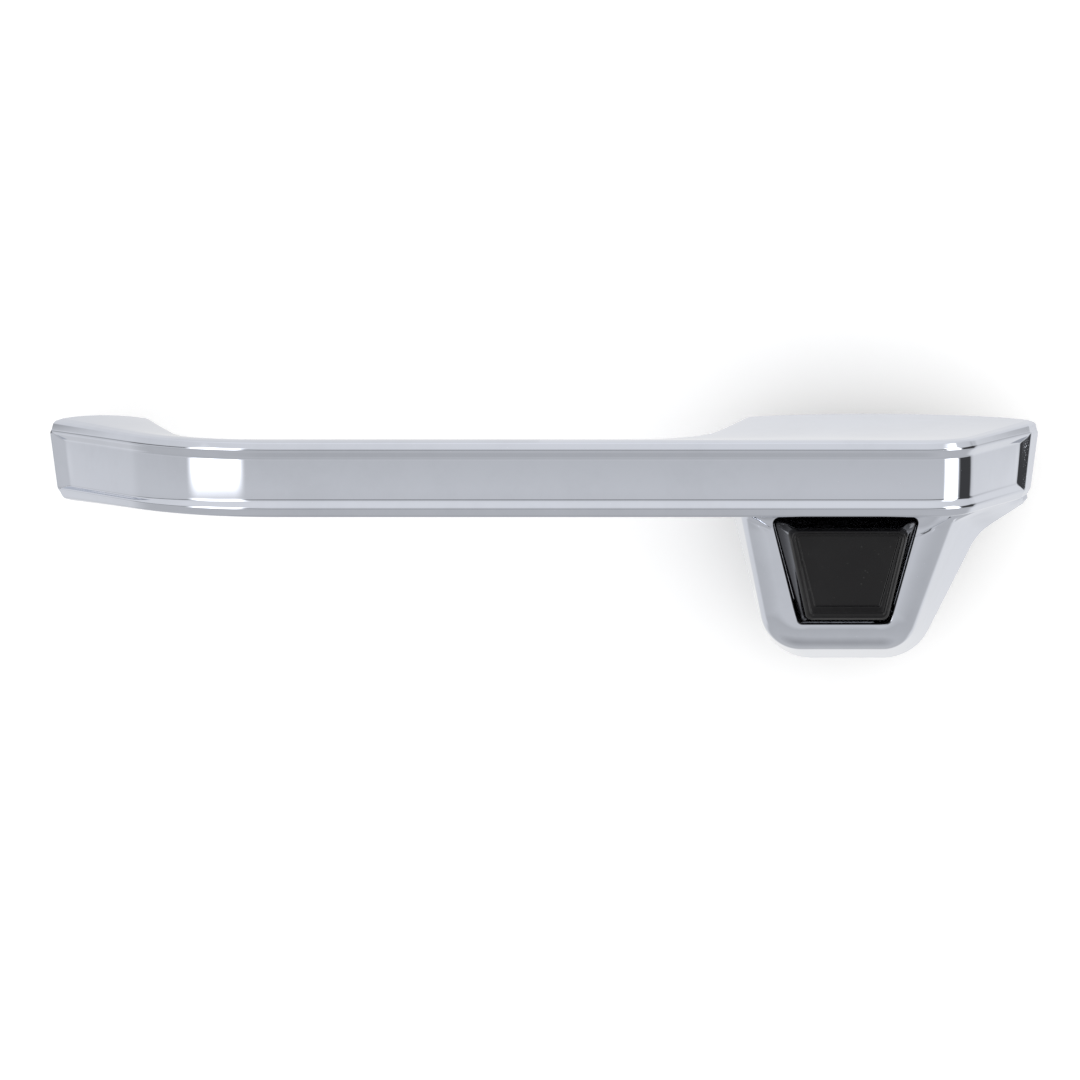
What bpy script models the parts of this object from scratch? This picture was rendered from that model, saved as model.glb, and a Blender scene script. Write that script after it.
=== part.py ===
"""Exterior pull handle for a vehicle door: a chromed die-cast bar with a push button.

Frame: X along the bar (button end at +X), Z up, Y into the door. The origin is on the
back face of the button-end gasket, which rests on the door's skin at Y = 0, on the
button's centre line and at the bar's mid-height. Units are metres.
"""

import math

import bmesh
import bpy
import numpy as np
from mathutils import Matrix, Vector

# ---- driving dimensions ----
TIP_L = -0.1188                 # the tips, from the bar's middle, along X
TIP_R = 0.1198
DEPTH = 0.040                   # gasket seat to the front crest
GASKET = 0.0015                 # gasket thickness
GAP = 0.0003                    # clearance between neighbouring solids
BUTTON_FROM_MIDDLE = 0.0714     # the button's centre line, from the bar's middle
BUTTON_Z = -0.0233              # button's centre line below the bar's mid-height

PAD_Y = -GASKET
FRONT_Y = PAD_Y - DEPTH
MIDDLE_X = -BUTTON_FROM_MIDDLE

# ---- the bar's section ----
BAR_HALF_HEIGHT = 0.0090
BAR_BACK_DROP = 0.0004          # the bar's back edge is this much lower than its front one
BAR_THICK = 0.011
CREST_Z = 0.00705               # half-height of the frame's crest
PANEL_Z = 0.0048                # half-height of the recessed panel
PANEL_DEEP = 0.0012
PANEL_LOWER = 0.0011            # how far the panel's bottom edge dips in the left foot
FRONT_ROUND = 0.0020
BACK_ROUND = 0.0032

# ---- the bar's plan, as bends of the front and of the back face ----
FRONT_BEND_L = (0.048, math.radians(48.5))      # radius and angle
FRONT_BEND_R = (0.016, math.radians(60.0))
BACK_BEND_L = (0.016, math.radians(68.0))
BACK_BEND_R = (0.020, math.radians(66.0))
FOOT_L = 0.0253                 # length of each foot on the door
FOOT_R = 0.0728
PAST_PAD = 0.006                # the loft runs past the seat and is trimmed there
CREST_FROM_TIP_L = 0.0006
CREST_FROM_TIP_R = 0.0054
FRAME_BEVEL = CREST_Z - PANEL_Z
PANEL_DIPS = (MIDDLE_X - 0.063, MIDDLE_X - 0.100)
STRAIGHT_MATCH = 0.077          # how far along the straight bar its back face starts to bend away

# ---- where the back face answers the front face's places: distances from its own bends ----
BACK_CREST = (0.0004, 0.0018)   # the crest and the bevel's foot at the left tip
BACK_STRAIGHT = (0.0100, 0.0100)
BACK_HEEL = (0.0020, 0.0040)
BACK_TIP = (0.0042, 0.0028)     # the bevel's foot and the crest at the right tip

# ---- how the feet flare towards the door ----
FLARE_L = 0.0025
FLARE_R = 0.0030
TIP_TOP = -0.0003               # the tip's own change of height, above and below
TIP_BOTTOM = 0.0006
HEEL_DROP = 0.3                 # share of the flare lost at the finger gap's side
TIP_SLANT = 0.11
FLARE_FROM = 0.008              # depth at which the flare starts

# ---- the lobe below the button end: corners as (x from the bar's middle, z, radius) ----
LOBE_FACE_Y = PAD_Y - 0.024
LOBE_EDGE = 0.0032
LOBE_AT_DOOR = (
    (0.0490, -0.0050, 0.0005),
    (0.0462, -0.0125, 0.0040),
    (0.0557, -0.0491, 0.0130),
    (0.0910, -0.0491, 0.0120),
    (0.1059, -0.0181, 0.0140),
    (0.1180, -0.0102, 0.0005),
    (0.1170, -0.0050, 0.0005),
)
LOBE_AT_FACE = (
    (0.0400, -0.0050, 0.0005),
    (0.0468, -0.0092, 0.0055),
    (0.0532, -0.0421, 0.0090),
    (0.0860, -0.0421, 0.0070),
    (0.0961, -0.0092, 0.0060),
    (0.1035, -0.0075, 0.0005),
    (0.1025, -0.0050, 0.0005),
)

# ---- the button: half-widths at its top and bottom, then its top and bottom z ----
WINDOW = (0.01755, 0.01080, -0.0108, -0.0364)
WINDOW_CORNER = 0.0026
BUTTON_PLAY = 0.00045
BUTTON_OUT = 0.0085             # how far the button stands out of the lobe's face
RIM = (0.01365, 0.00890, -0.0131, -0.0335)
RIM_CORNER = 0.0016
STEP = (0.01265, 0.00840, -0.0137, -0.0324)
PANEL = (0.01195, 0.00760, -0.0142, -0.0310)
PANEL_CORNER = 0.0006
BUTTON_WALL = 0.0020
SKIRT = 0.0055                  # length of the straight skirt behind the window
BUTTON_BOSS = 0.0053            # radius

# ---- the cavities of the button end ----
FACE_WALL = 0.0025
WEB_FRONT_Y = -0.0100
WEB_BACK_Y = -0.0075
CAVITY = (0.01950, 0.01300, -0.0100, -0.0388)
REAR_POCKET = (0.01900, 0.01300, -0.0108, -0.0412)
POCKET_CORNER = 0.0040
CORE_Z = (-0.0052, 0.0074)
CORES_X = (-0.0060, 0.0125)     # middles of the two cores, from the button's centre line
CORE_LENGTH = 0.0150
CORE_DEEP = 0.0300

# ---- plunger and what rides on it ----
PLUNGER_R = 0.0035
PLUNGER_Y = (-0.0300, 0.0100)
BUSH_R = 0.0046
BUSH_BORE = PLUNGER_R + GAP
GROOVE_R = 0.0028
GROOVE_Y = (-0.0041, -0.0027)
CLIP_Y = (-0.0038, -0.0030)
PIN_R = 0.00125
PIN_Y = -0.0255
TAIL_BORE_R = 0.0023
TAIL_BORE_DEEP = 0.0090
ADJUSTER_R = 0.0020
ADJUSTER_HEAD_Y = (0.0155, 0.0190)

SPRING_Y = (-0.0309, -0.0127)
SPRING_R = 0.0065
WIRE_R = 0.0006
SPRING_TURNS = 6

# ---- M5 mounting hardware ----
SCREW_R = 0.0025
SCREW_HOLE_R = SCREW_R + GAP
SCREW_HOLE_DEEP = 0.0095
BOSS_R = 0.0053
DOOR_SKIN = 0.0010
FLAT_WASHER = (0.0028, 0.0050, 0.0010)      # bore, outer radius, thickness
LOCK_WASHER = (0.0028, 0.0045, 0.0012)
LOCK_SLOT = 0.0008
HEAD_ACROSS = 0.0080
HEAD_HIGH = 0.0035
SCREWS = {
    "front": MIDDLE_X - 0.1030,
    "button_end": MIDDLE_X + 0.1030,
}

CHROME = (0.80, 0.81, 0.83)
BLACK = (0.012, 0.012, 0.014)
RUBBER = (0.020, 0.020, 0.021)
NYLON = (0.62, 0.60, 0.54)
STEEL = (0.52, 0.53, 0.55)
ZINC = (0.60, 0.60, 0.58)


def clear_scene():
    for item in list(bpy.data.objects):
        bpy.data.objects.remove(item, do_unlink=True)


def new_collection(name):
    group = bpy.data.collections.new(name)
    bpy.context.scene.collection.children.link(group)
    return group


def make_material(name, colour, metallic, roughness):
    made = bpy.data.materials.new(name)
    made.use_nodes = True
    shader = made.node_tree.nodes["Principled BSDF"]
    shader.inputs["Base Color"].default_value = (*colour, 1.0)
    shader.inputs["Metallic"].default_value = metallic
    shader.inputs["Roughness"].default_value = roughness
    return made


def keep(item, name, finish=None):
    """Name an object, give it its material and put it with the parts, or with the cutters."""
    item.name = name
    group = PARTS if finish else CUTTERS
    for old in list(item.users_collection):
        old.objects.unlink(item)
    group.objects.link(item)
    if finish:
        item.data.materials.clear()
        item.data.materials.append(finish)
    else:
        item.hide_render = True
        item.display_type = "WIRE"
    return item


def smooth(item, degrees=30):
    item.data.shade_smooth()
    item.data.set_sharp_from_angle(angle=math.radians(degrees))


def cut(item, cutter, operation="DIFFERENCE"):
    modifier = item.modifiers.new(operation.lower(), "BOOLEAN")
    modifier.operation = operation
    modifier.object = cutter
    modifier.solver = "EXACT"


def bake(item):
    """Replace an object's mesh by what its modifiers make of it."""
    view = bpy.context.evaluated_depsgraph_get()
    view.update()
    made = bpy.data.meshes.new_from_object(item.evaluated_get(view))
    item.modifiers.clear()
    item.data = made


# ---- outlines and lofts ----
def rounded_outline(corners, steps=5):
    """A closed outline through (x, z, radius) corners, each rounded by an arc."""
    points = []
    count = len(corners)
    for index, (x, z, radius) in enumerate(corners):
        here = np.array((x, z))
        back = np.array(corners[index - 1][:2]) - here
        ahead = np.array(corners[(index + 1) % count][:2]) - here
        back /= np.linalg.norm(back)
        ahead /= np.linalg.norm(ahead)
        half = 0.5 * math.acos(float(np.clip(back @ ahead, -1.0, 1.0)))
        middle = back + ahead
        centre = here + middle / np.linalg.norm(middle) * radius / math.sin(half)
        start = here + back * radius / math.tan(half) - centre
        end = here + ahead * radius / math.tan(half) - centre
        first = math.atan2(start[1], start[0])
        turn = (math.atan2(end[1], end[0]) - first + math.pi) % (2 * math.pi) - math.pi
        for step in range(steps + 1):
            angle = first + turn * step / steps
            points.append(centre + radius * np.array((math.cos(angle), math.sin(angle))))
    return np.array(points)


def trapezoid(shape, corner, grow=0.0, steps=4):
    """The button's outline: wide at the top, narrow at the bottom, round corners."""
    top, bottom, high, low = shape
    corners = (
        (-top - grow, high + grow, corner),
        (-bottom - grow, low - grow, corner),
        (bottom + grow, low - grow, corner),
        (top + grow, high + grow, corner),
    )
    return rounded_outline(corners, steps)


def ring(outline, y):
    return [Vector((x, y, z)) for x, z in outline]


def loft(name, rings):
    """A closed solid through rings of equal length, with a flat cap at each end."""
    mesh = bmesh.new()
    rows = [[mesh.verts.new(point) for point in row] for row in rings]
    count = len(rows[0])
    for low, high in zip(rows, rows[1:]):
        for k in range(count):
            after = (k + 1) % count
            mesh.faces.new((low[k], low[after], high[after], high[k]))
    mesh.faces.new(list(reversed(rows[0])))
    mesh.faces.new(rows[-1])
    bmesh.ops.recalc_face_normals(mesh, faces=mesh.faces)
    data = bpy.data.meshes.new(name)
    mesh.to_mesh(data)
    mesh.free()
    return bpy.data.objects.new(name, data)


def trim(item, y):
    """Cut a solid off flat at y, keeping its outer side, and close the cut."""
    mesh = bmesh.new()
    mesh.from_mesh(item.data)
    everything = mesh.verts[:] + mesh.edges[:] + mesh.faces[:]
    made = bmesh.ops.bisect_plane(
        mesh, geom=everything, plane_co=(0, y, 0), plane_no=(0, 1, 0), clear_outer=True
    )
    edges = [part for part in made["geom_cut"] if isinstance(part, bmesh.types.BMEdge)]
    bmesh.ops.contextual_create(mesh, geom=edges)
    bmesh.ops.recalc_face_normals(mesh, faces=mesh.faces)
    mesh.to_mesh(item.data)
    mesh.free()


def prism(name, outline, start_y, end_y):
    return loft(name, [ring(outline, start_y), ring(outline, end_y)])


# ---- turned pieces, each about an axis along Y ----
def turned(name, profile, x, z, segments=32):
    """Spin a profile of (radius, y) points about the line at x and z, along Y.

    The profile runs down its outer side, from the door end (high y) to the front.
    """
    data = bpy.data.meshes.new(name)
    points = [(radius, 0.0, y) for radius, y in profile]
    loop = len(points) > 2 and all(radius > 0 for radius, _ in profile)
    edges = [(k, k + 1) for k in range(len(points) - 1)]
    if loop:
        edges.append((len(points) - 1, 0))
    data.from_pydata(points, edges, [])
    item = bpy.data.objects.new(name, data)
    PARTS.objects.link(item)
    spin = item.modifiers.new("spin", "SCREW")
    spin.axis = "Z"
    spin.steps = segments
    spin.render_steps = segments
    spin.use_merge_vertices = True
    spin.merge_threshold = 0.00001
    # local Z, the spin's axis, becomes world +Y
    item.matrix_world = Matrix.Translation((x, 0, z)) @ Matrix.Rotation(math.radians(-90), 4, "X")
    smooth(item)
    return item


def collar(name, bore, outer, start_y, end_y, x, z, segments=32):
    profile = ((bore, end_y), (outer, end_y), (outer, start_y), (bore, start_y))
    return turned(name, profile, x, z, segments)


def rod(name, radius, start_y, end_y, x, z, sides=24):
    centre = (x, (start_y + end_y) / 2, z)
    quarter = (math.radians(90), 0, 0)
    bpy.ops.mesh.primitive_cylinder_add(
        vertices=sides, radius=radius, depth=end_y - start_y, location=centre, rotation=quarter
    )
    item = bpy.context.object
    item.name = name
    return item


def hex_bar(name, across, start_y, end_y, x, z):
    return rod(name, across / math.sqrt(3), start_y, end_y, x, z, sides=6)


# ---- the bar ----
def bent_path(x, heading, pieces, distances):
    """Points (x, depth) and headings along straight and round (length, turn) pieces."""
    points = []
    for distance in distances:
        left = distance
        here = np.array((x, DEPTH))
        angle = heading
        for index, (length, turn) in enumerate(pieces):
            last = index == len(pieces) - 1
            step = left if last or left < length else length
            part = turn * step / length
            if abs(part) < 1e-9:
                here = here + step * np.array((math.cos(angle), math.sin(angle)))
            else:
                chord = 2 * step / part * math.sin(part / 2)
                middle = angle + part / 2
                here = here + chord * np.array((math.cos(middle), math.sin(middle)))
            angle += part
            left -= step
            if left <= 0 and distance > 0 or distance <= 0:
                break
        points.append((*here, angle))
    return points


def side_pieces(left_bend, right_bend, drop, start_x, end_x):
    """The five pieces of the front or the back face's plan, from foot to foot."""
    left_r, left_turn = left_bend
    right_r, right_turn = right_bend
    left_run = (drop - left_r * (1 - math.cos(left_turn))) / math.sin(left_turn)
    right_run = (drop - right_r * (1 - math.cos(right_turn))) / math.sin(right_turn)
    used = left_run * math.cos(left_turn) + left_r * math.sin(left_turn)
    used += right_run * math.cos(right_turn) + right_r * math.sin(right_turn)
    middle = end_x - start_x - used
    return (
        (left_run, 0.0),
        (left_r * left_turn, left_turn),
        (middle, 0.0),
        (right_r * right_turn, right_turn),
        (right_run, 0.0),
    )


def spaced(knots, counts):
    """Values between neighbouring knots, so many to each interval."""
    values = [knots[0]]
    for low, high, count in zip(knots, knots[1:], counts):
        values += [low + (high - low) * (k + 1) / count for k in range(count)]
    return values


def bar_stations():
    """Matching points along the front and the back face, from the left foot to the right."""
    start = MIDDLE_X + TIP_L
    end = MIDDLE_X + TIP_R
    front = side_pieces(FRONT_BEND_L, FRONT_BEND_R, DEPTH, start, end)
    back_drop = DEPTH - BAR_THICK
    back = side_pieces(BACK_BEND_L, BACK_BEND_R, back_drop, start + FOOT_L, end - FOOT_R)
    front_ends = np.cumsum([0.0] + [length for length, _ in front])
    back_ends = np.cumsum([0.0] + [length for length, _ in back])
    crest_l = CREST_FROM_TIP_L
    crest_r = front_ends[5] - CREST_FROM_TIP_R
    shared = front_ends[2] + STRAIGHT_MATCH
    front_knots = (
        -PAST_PAD, 0.0, crest_l, crest_l + FRAME_BEVEL, front_ends[1], front_ends[2],
        shared, front_ends[3], front_ends[4], crest_r - FRAME_BEVEL, crest_r,
        front_ends[5], front_ends[5] + PAST_PAD,
    )
    back_knots = (
        -PAST_PAD, 0.0, *BACK_CREST, back_ends[1], back_ends[2] + BACK_STRAIGHT[0],
        back_ends[3] - BACK_STRAIGHT[1], back_ends[4] - BACK_HEEL[0],
        back_ends[4] + BACK_HEEL[1], back_ends[5] - BACK_TIP[0],
        back_ends[5] - BACK_TIP[1], back_ends[5], back_ends[5] + PAST_PAD,
    )
    counts = (1, 1, 1, 4, 8, 3, 6, 7, 4, 1, 1, 1)
    along_front = spaced(front_knots, counts)
    along_back = spaced(back_knots, counts)
    front_points = bent_path(start, -FRONT_BEND_L[1], front, along_front)
    back_points = bent_path(start + FOOT_L, -BACK_BEND_L[1], back, along_back)
    edge = [min(s - crest_l, crest_r - s) for s in along_front]
    return list(zip(front_points, back_points, edge))


def flare_at(depth):
    part = max(0.0, (depth - FLARE_FROM) / (DEPTH - FLARE_FROM))
    return part ** 1.7


def bar_ring(front, back, edge):
    """One closed section of the bar, through a front point and the back point it answers."""
    fx, fd, f_angle = front
    bx, bd, b_angle = back
    inward = np.array((-math.sin(f_angle), math.cos(f_angle)))
    outward = np.array((-math.sin(b_angle), math.cos(b_angle)))
    face = np.array((fx, fd))
    rear = np.array((bx, bd))
    left = fx < MIDDLE_X
    flare = FLARE_L if left else FLARE_R
    side = -1.0 if left else 1.0
    sunk = PANEL_DEEP * min(max(edge / FRAME_BEVEL, 0.0), 1.0)
    into_foot = min(max((PANEL_DIPS[0] - fx) / (PANEL_DIPS[0] - PANEL_DIPS[1]), 0.0), 1.0)
    dip = PANEL_LOWER * into_foot ** 2 * (3 - 2 * into_foot)

    def place(plan, height, across, up):
        amount = flare_at(plan[1])
        rise = flare * math.sqrt(max(0.0, 1 - (1 - across) ** 2)) * (1 - HEEL_DROP * across**4)
        rise = rise + TIP_TOP if up else 0.5 * rise + TIP_BOTTOM
        z = height * (1 + amount * rise / BAR_HALF_HEIGHT)
        z = z if up else -z
        x = plan[0] + side * TIP_SLANT * z * amount * (1 - across)
        return Vector((x, FRONT_Y + plan[1], z))

    def half(up):
        panel_z = PANEL_Z if up else PANEL_Z + dip
        points = [place(face + inward * sunk, panel_z, 0.0, up)]
        for step in range(4):
            angle = math.radians(30 * step)
            inset = FRONT_ROUND * (1 - math.cos(angle))
            height = CREST_Z + (BAR_HALF_HEIGHT - CREST_Z) * math.sin(angle)
            points.append(place(face + inward * inset, height, 0.0, up))
        shoulder = face + inward * FRONT_ROUND
        heel = rear - outward * BACK_ROUND
        for across in (0.25, 0.5, 0.75):
            plan = shoulder + (heel - shoulder) * across
            height = BAR_HALF_HEIGHT - BAR_BACK_DROP * across
            points.append(place(plan, height, across, up))
        low = BAR_HALF_HEIGHT - BAR_BACK_DROP - BACK_ROUND
        for step in range(4):
            angle = math.radians(30 * step)
            plan = heel + outward * BACK_ROUND * math.sin(angle)
            points.append(place(plan, low + BACK_ROUND * math.cos(angle), 1.0, up))
        return points

    return half(True) + list(reversed(half(False)))


def make_bar():
    rings = [bar_ring(*station) for station in bar_stations()]
    bar = loft("bar", rings)
    trim(bar, PAD_Y)
    return bar


# ---- the lobe ----
def blend(first, second, part):
    """Corners part of the way from one outline to another."""
    mixed = np.array(first) * (1 - part) + np.array(second) * part
    return [(x + MIDDLE_X, z, radius) for x, z, radius in mixed]


def inset(outline, distance):
    """Move an outline's points inwards along its own normals."""
    tangent = np.roll(outline, -1, axis=0) - np.roll(outline, 1, axis=0)
    tangent /= np.linalg.norm(tangent, axis=1)[:, None]
    return outline + distance * np.column_stack((-tangent[:, 1], tangent[:, 0]))


def make_lobe():
    """From the seat out to the face, with a soft edge between the flanks and the face."""
    run = PAD_Y - LOBE_FACE_Y
    rings = []
    for part in (0.0, 0.5, 1.0 - LOBE_EDGE / run):
        outline = rounded_outline(blend(LOBE_AT_DOOR, LOBE_AT_FACE, part))
        rings.append(ring(outline, PAD_Y - run * part))
    face = rounded_outline(blend(LOBE_AT_DOOR, LOBE_AT_FACE, 1.0))
    for degrees in (30, 60, 90):
        angle = math.radians(degrees)
        y = LOBE_FACE_Y + LOBE_EDGE * (1 - math.sin(angle))
        rings.append(ring(inset(face, LOBE_EDGE * (1 - math.cos(angle))), y))
    return loft("lobe", rings)


def make_casting(finish):
    bar = make_bar()
    keep(bar, "handle_casting", finish)
    cut(bar, keep(make_lobe(), "lobe_form"), "UNION")
    for name, x in SCREWS.items():
        boss = rod(f"{name}_boss", BOSS_R, PAD_Y - 0.001, 0.0, x, 0.0, 32)
        cut(bar, keep(boss, f"{name}_boss"), "UNION")
        hole = rod(f"{name}_hole", SCREW_HOLE_R, PAD_Y - SCREW_HOLE_DEEP, 0.001, x, 0.0, 24)
        cut(bar, keep(hole, f"{name}_hole"))
    window = prism("window", trapezoid(WINDOW, WINDOW_CORNER), LOBE_FACE_Y - 0.004, -0.0200)
    cut(bar, keep(window, "window_cutter"))
    cavity_y = LOBE_FACE_Y + FACE_WALL
    cavity = prism("cavity", trapezoid(CAVITY, POCKET_CORNER), cavity_y, WEB_FRONT_Y)
    cut(bar, keep(cavity, "cavity_cutter"))
    pocket = prism("pocket", trapezoid(REAR_POCKET, POCKET_CORNER), WEB_BACK_Y, 0.001)
    cut(bar, keep(pocket, "rear_pocket_cutter"))
    guide = rod("guide", BUSH_R + GAP, WEB_FRONT_Y - 0.001, WEB_BACK_Y + 0.001, 0.0, BUTTON_Z, 32)
    cut(bar, keep(guide, "guide_hole_cutter"))
    for index, x in enumerate(CORES_X):
        half = CORE_LENGTH / 2
        low, high = CORE_Z
        corners = (
            (x - half, high, 0.002), (x - half, low, 0.002),
            (x + half, low, 0.002), (x + half, high, 0.002),
        )
        core = prism("core", rounded_outline(corners, 3), PAD_Y - CORE_DEEP, 0.001)
        cut(bar, keep(core, f"core_cutter_{index + 1}"))
    bake(bar)
    smooth(bar, 35)
    return bar


# ---- the button ----
def make_button(finish):
    """A drafted cap with a stepped, recessed face, hollow behind, with a boss for the plunger."""
    base = trapezoid(WINDOW, WINDOW_CORNER - BUTTON_PLAY, -BUTTON_PLAY)
    shoulder = trapezoid(RIM, RIM_CORNER, 0.0006)
    rim = trapezoid(RIM, RIM_CORNER)
    step = trapezoid(STEP, PANEL_CORNER)
    panel = trapezoid(PANEL, PANEL_CORNER)
    front = LOBE_FACE_Y - BUTTON_OUT
    rings = [
        ring(base, LOBE_FACE_Y + SKIRT),
        ring(base, LOBE_FACE_Y),
        ring(shoulder, front + 0.0008),
        ring(rim, front),
        ring(step, front + 0.0002),
        ring(step, front + 0.0006),
        ring(panel, front + 0.0007),
        ring(panel, front + 0.0011),
    ]
    button = keep(loft("button", rings), "push_button", finish)
    wall = BUTTON_WALL
    inner = front + wall + 0.0008
    hollow_rings = [
        ring(trapezoid(WINDOW, 0.001, -wall), LOBE_FACE_Y + SKIRT + 0.001),
        ring(trapezoid(WINDOW, 0.001, -wall), LOBE_FACE_Y),
        ring(trapezoid(RIM, 0.001, -wall), inner),
    ]
    hollow = keep(loft("hollow", hollow_rings), "button_hollow_cutter")
    post = rod("post", BUTTON_BOSS, inner - 0.001, PLUNGER_Y[0] + 0.0065, 0.0, BUTTON_Z, 32)
    cut(hollow, keep(post, "button_boss_form"))
    bake(hollow)
    cut(button, hollow)
    bore = rod("bore", BUSH_BORE, PLUNGER_Y[0] - GAP, -0.018, 0.0, BUTTON_Z, 32)
    cut(button, keep(bore, "plunger_bore_cutter"))
    cross = cross_rod("cross", PIN_R + GAP, BUTTON_BOSS + 0.001)
    cut(button, keep(cross, "cross_hole_cutter"))
    bake(button)
    smooth(button, 25)
    return button


def cross_rod(name, radius, half):
    """A rod along X through the button's centre line."""
    bpy.ops.mesh.primitive_cylinder_add(
        vertices=16, radius=radius, depth=2 * half,
        location=(0.0, PIN_Y, BUTTON_Z), rotation=(0, math.radians(90), 0),
    )
    item = bpy.context.object
    item.name = name
    return item


def make_plunger(finish):
    """A turned rod with a clip groove, a cross hole and a tapped tail."""
    start, end = PLUNGER_Y
    chamfer = 0.0004
    bottom = end - TAIL_BORE_DEEP
    profile = (
        (0.0, bottom - 0.001),
        (TAIL_BORE_R, bottom),
        (TAIL_BORE_R, end),
        (PLUNGER_R - chamfer, end),
        (PLUNGER_R, end - chamfer),
        (PLUNGER_R, GROOVE_Y[1]),
        (GROOVE_R, GROOVE_Y[1]),
        (GROOVE_R, GROOVE_Y[0]),
        (PLUNGER_R, GROOVE_Y[0]),
        (PLUNGER_R, start + chamfer),
        (PLUNGER_R - chamfer, start),
        (0.0, start),
    )
    plunger = keep(turned("button_plunger", profile, 0.0, BUTTON_Z, 24), "button_plunger", finish)
    bake(plunger)
    cut(plunger, keep(cross_rod("pin_hole", PIN_R + GAP, 0.005), "pin_hole_cutter"))
    smooth(plunger)


def make_clip(finish):
    """An E-shaped spring clip: a ring with a mouth, pushed into the plunger's groove."""
    clip = keep(
        collar("clip", GROOVE_R + GAP, 0.0062, *CLIP_Y, 0.0, BUTTON_Z, 32),
        "retaining_clip", finish,
    )
    bake(clip)
    mouth_corners = (
        (-0.0022, BUTTON_Z, 0.0004), (-0.0026, BUTTON_Z - 0.009, 0.0004),
        (0.0026, BUTTON_Z - 0.009, 0.0004), (0.0022, BUTTON_Z, 0.0004),
    )
    mouth = prism("mouth", rounded_outline(mouth_corners, 2), CLIP_Y[0] - 0.001, CLIP_Y[1] + 0.001)
    cut(clip, keep(mouth, "clip_mouth_cutter"))


def make_spring(finish):
    """A helix from the button's inner face to the seat washer."""
    per_turn = 16
    count = SPRING_TURNS * per_turn
    start, end = SPRING_Y
    first = start + WIRE_R
    pitch = (end - start - 2 * WIRE_R) / count
    curve = bpy.data.curves.new("button_return_spring", "CURVE")
    curve.dimensions = "3D"
    curve.bevel_depth = WIRE_R
    curve.bevel_resolution = 2
    curve.use_fill_caps = True
    line = curve.splines.new("POLY")
    line.points.add(count)
    for k, point in enumerate(line.points):
        angle = 2 * math.pi * k / per_turn
        x = SPRING_R * math.cos(angle)
        z = BUTTON_Z + SPRING_R * math.sin(angle)
        point.co = (x, first + pitch * k, z, 1.0)
    item = bpy.data.objects.new("button_return_spring", curve)
    PARTS.objects.link(item)
    keep(item, "button_return_spring", finish)


def make_button_seal(finish):
    """A rubber frame round the button's skirt, behind the lobe's face."""
    outer = prism(
        "seal", trapezoid(CAVITY, POCKET_CORNER - GAP, -GAP - 0.0001),
        LOBE_FACE_Y + FACE_WALL + GAP, LOBE_FACE_Y + FACE_WALL + GAP + 0.0015,
    )
    seal = keep(outer, "button_seal", finish)
    hole = prism("seal_hole", trapezoid(WINDOW, WINDOW_CORNER, 0.0), -0.026, -0.018)
    cut(seal, keep(hole, "seal_hole_cutter"))


def gasket(name, corners, boss_x, finish):
    outline = rounded_outline([(x + MIDDLE_X, z, r) for x, z, r in corners])
    sheet = keep(prism(name, outline, PAD_Y + GAP, 0.0), name, finish)
    hole = rod("gasket_hole", BOSS_R + 0.0004, PAD_Y - 0.001, 0.001, boss_x, 0.0, 32)
    cut(sheet, keep(hole, f"{name}_boss_hole"))
    return sheet


FRONT_PAD = (
    (-0.1180, 0.0076, 0.0012),
    (-0.1163, -0.0086, 0.0012),
    (-0.1050, -0.0096, 0.0200),
    (-0.0941, -0.0096, 0.0028),
    (-0.0941, 0.0104, 0.0028),
    (-0.1075, 0.0104, 0.0120),
)
BUTTON_PAD = (
    (0.1190, 0.0077, 0.0012),
    (0.1040, 0.0106, 0.0300),
    (0.0780, 0.0110, 0.0300),
    (0.0475, 0.0102, 0.0030),
    (0.0475, -0.0080, 0.0020),
    (0.0468, -0.0130, 0.0030),
    (0.0561, -0.0486, 0.0127),
    (0.0906, -0.0486, 0.0117),
    (0.1054, -0.0177, 0.0140),
    (0.1168, -0.0098, 0.0012),
)


def make_gaskets(finish):
    gasket("front_gasket", FRONT_PAD, SCREWS["front"], finish)
    sheet = gasket("button_end_gasket", BUTTON_PAD, SCREWS["button_end"], finish)
    opening = prism("opening", trapezoid(REAR_POCKET, POCKET_CORNER, 0.0), -0.003, 0.001)
    cut(sheet, keep(opening, "gasket_opening_cutter"))


def make_mounting_set(name, x, steel):
    """One M5 screw with its washers, at the depth where it clamps the door's skin."""
    flat_y = DOOR_SKIN
    lock_y = flat_y + FLAT_WASHER[2] + GAP
    head_y = lock_y + LOCK_WASHER[2] + GAP
    flat = collar("flat", *FLAT_WASHER[:2], flat_y, flat_y + FLAT_WASHER[2], x, 0.0)
    keep(flat, f"{name}_flat_washer", steel)
    lock = collar("lock", *LOCK_WASHER[:2], lock_y, lock_y + LOCK_WASHER[2], x, 0.0)
    keep(lock, f"{name}_lock_washer", steel)
    bake(lock)
    half = LOCK_SLOT / 2
    middle = (x - half, 0.001), (x - half, 0.006), (x + half, 0.006), (x + half, 0.001)
    slot = prism("slot", np.array(middle), lock_y - 0.001, lock_y + 0.003)
    cut(lock, keep(slot, f"{name}_lock_washer_slot"))
    screw = keep(
        rod("screw", SCREW_R, PAD_Y - SCREW_HOLE_DEEP + 0.001, head_y + 0.001, x, 0.0),
        f"{name}_mounting_screw", steel,
    )
    head = hex_bar("head", HEAD_ACROSS, head_y, head_y + HEAD_HIGH, x, 0.0)
    cut(screw, keep(head, f"{name}_screw_head_form"), "UNION")
    smooth(screw)


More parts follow.
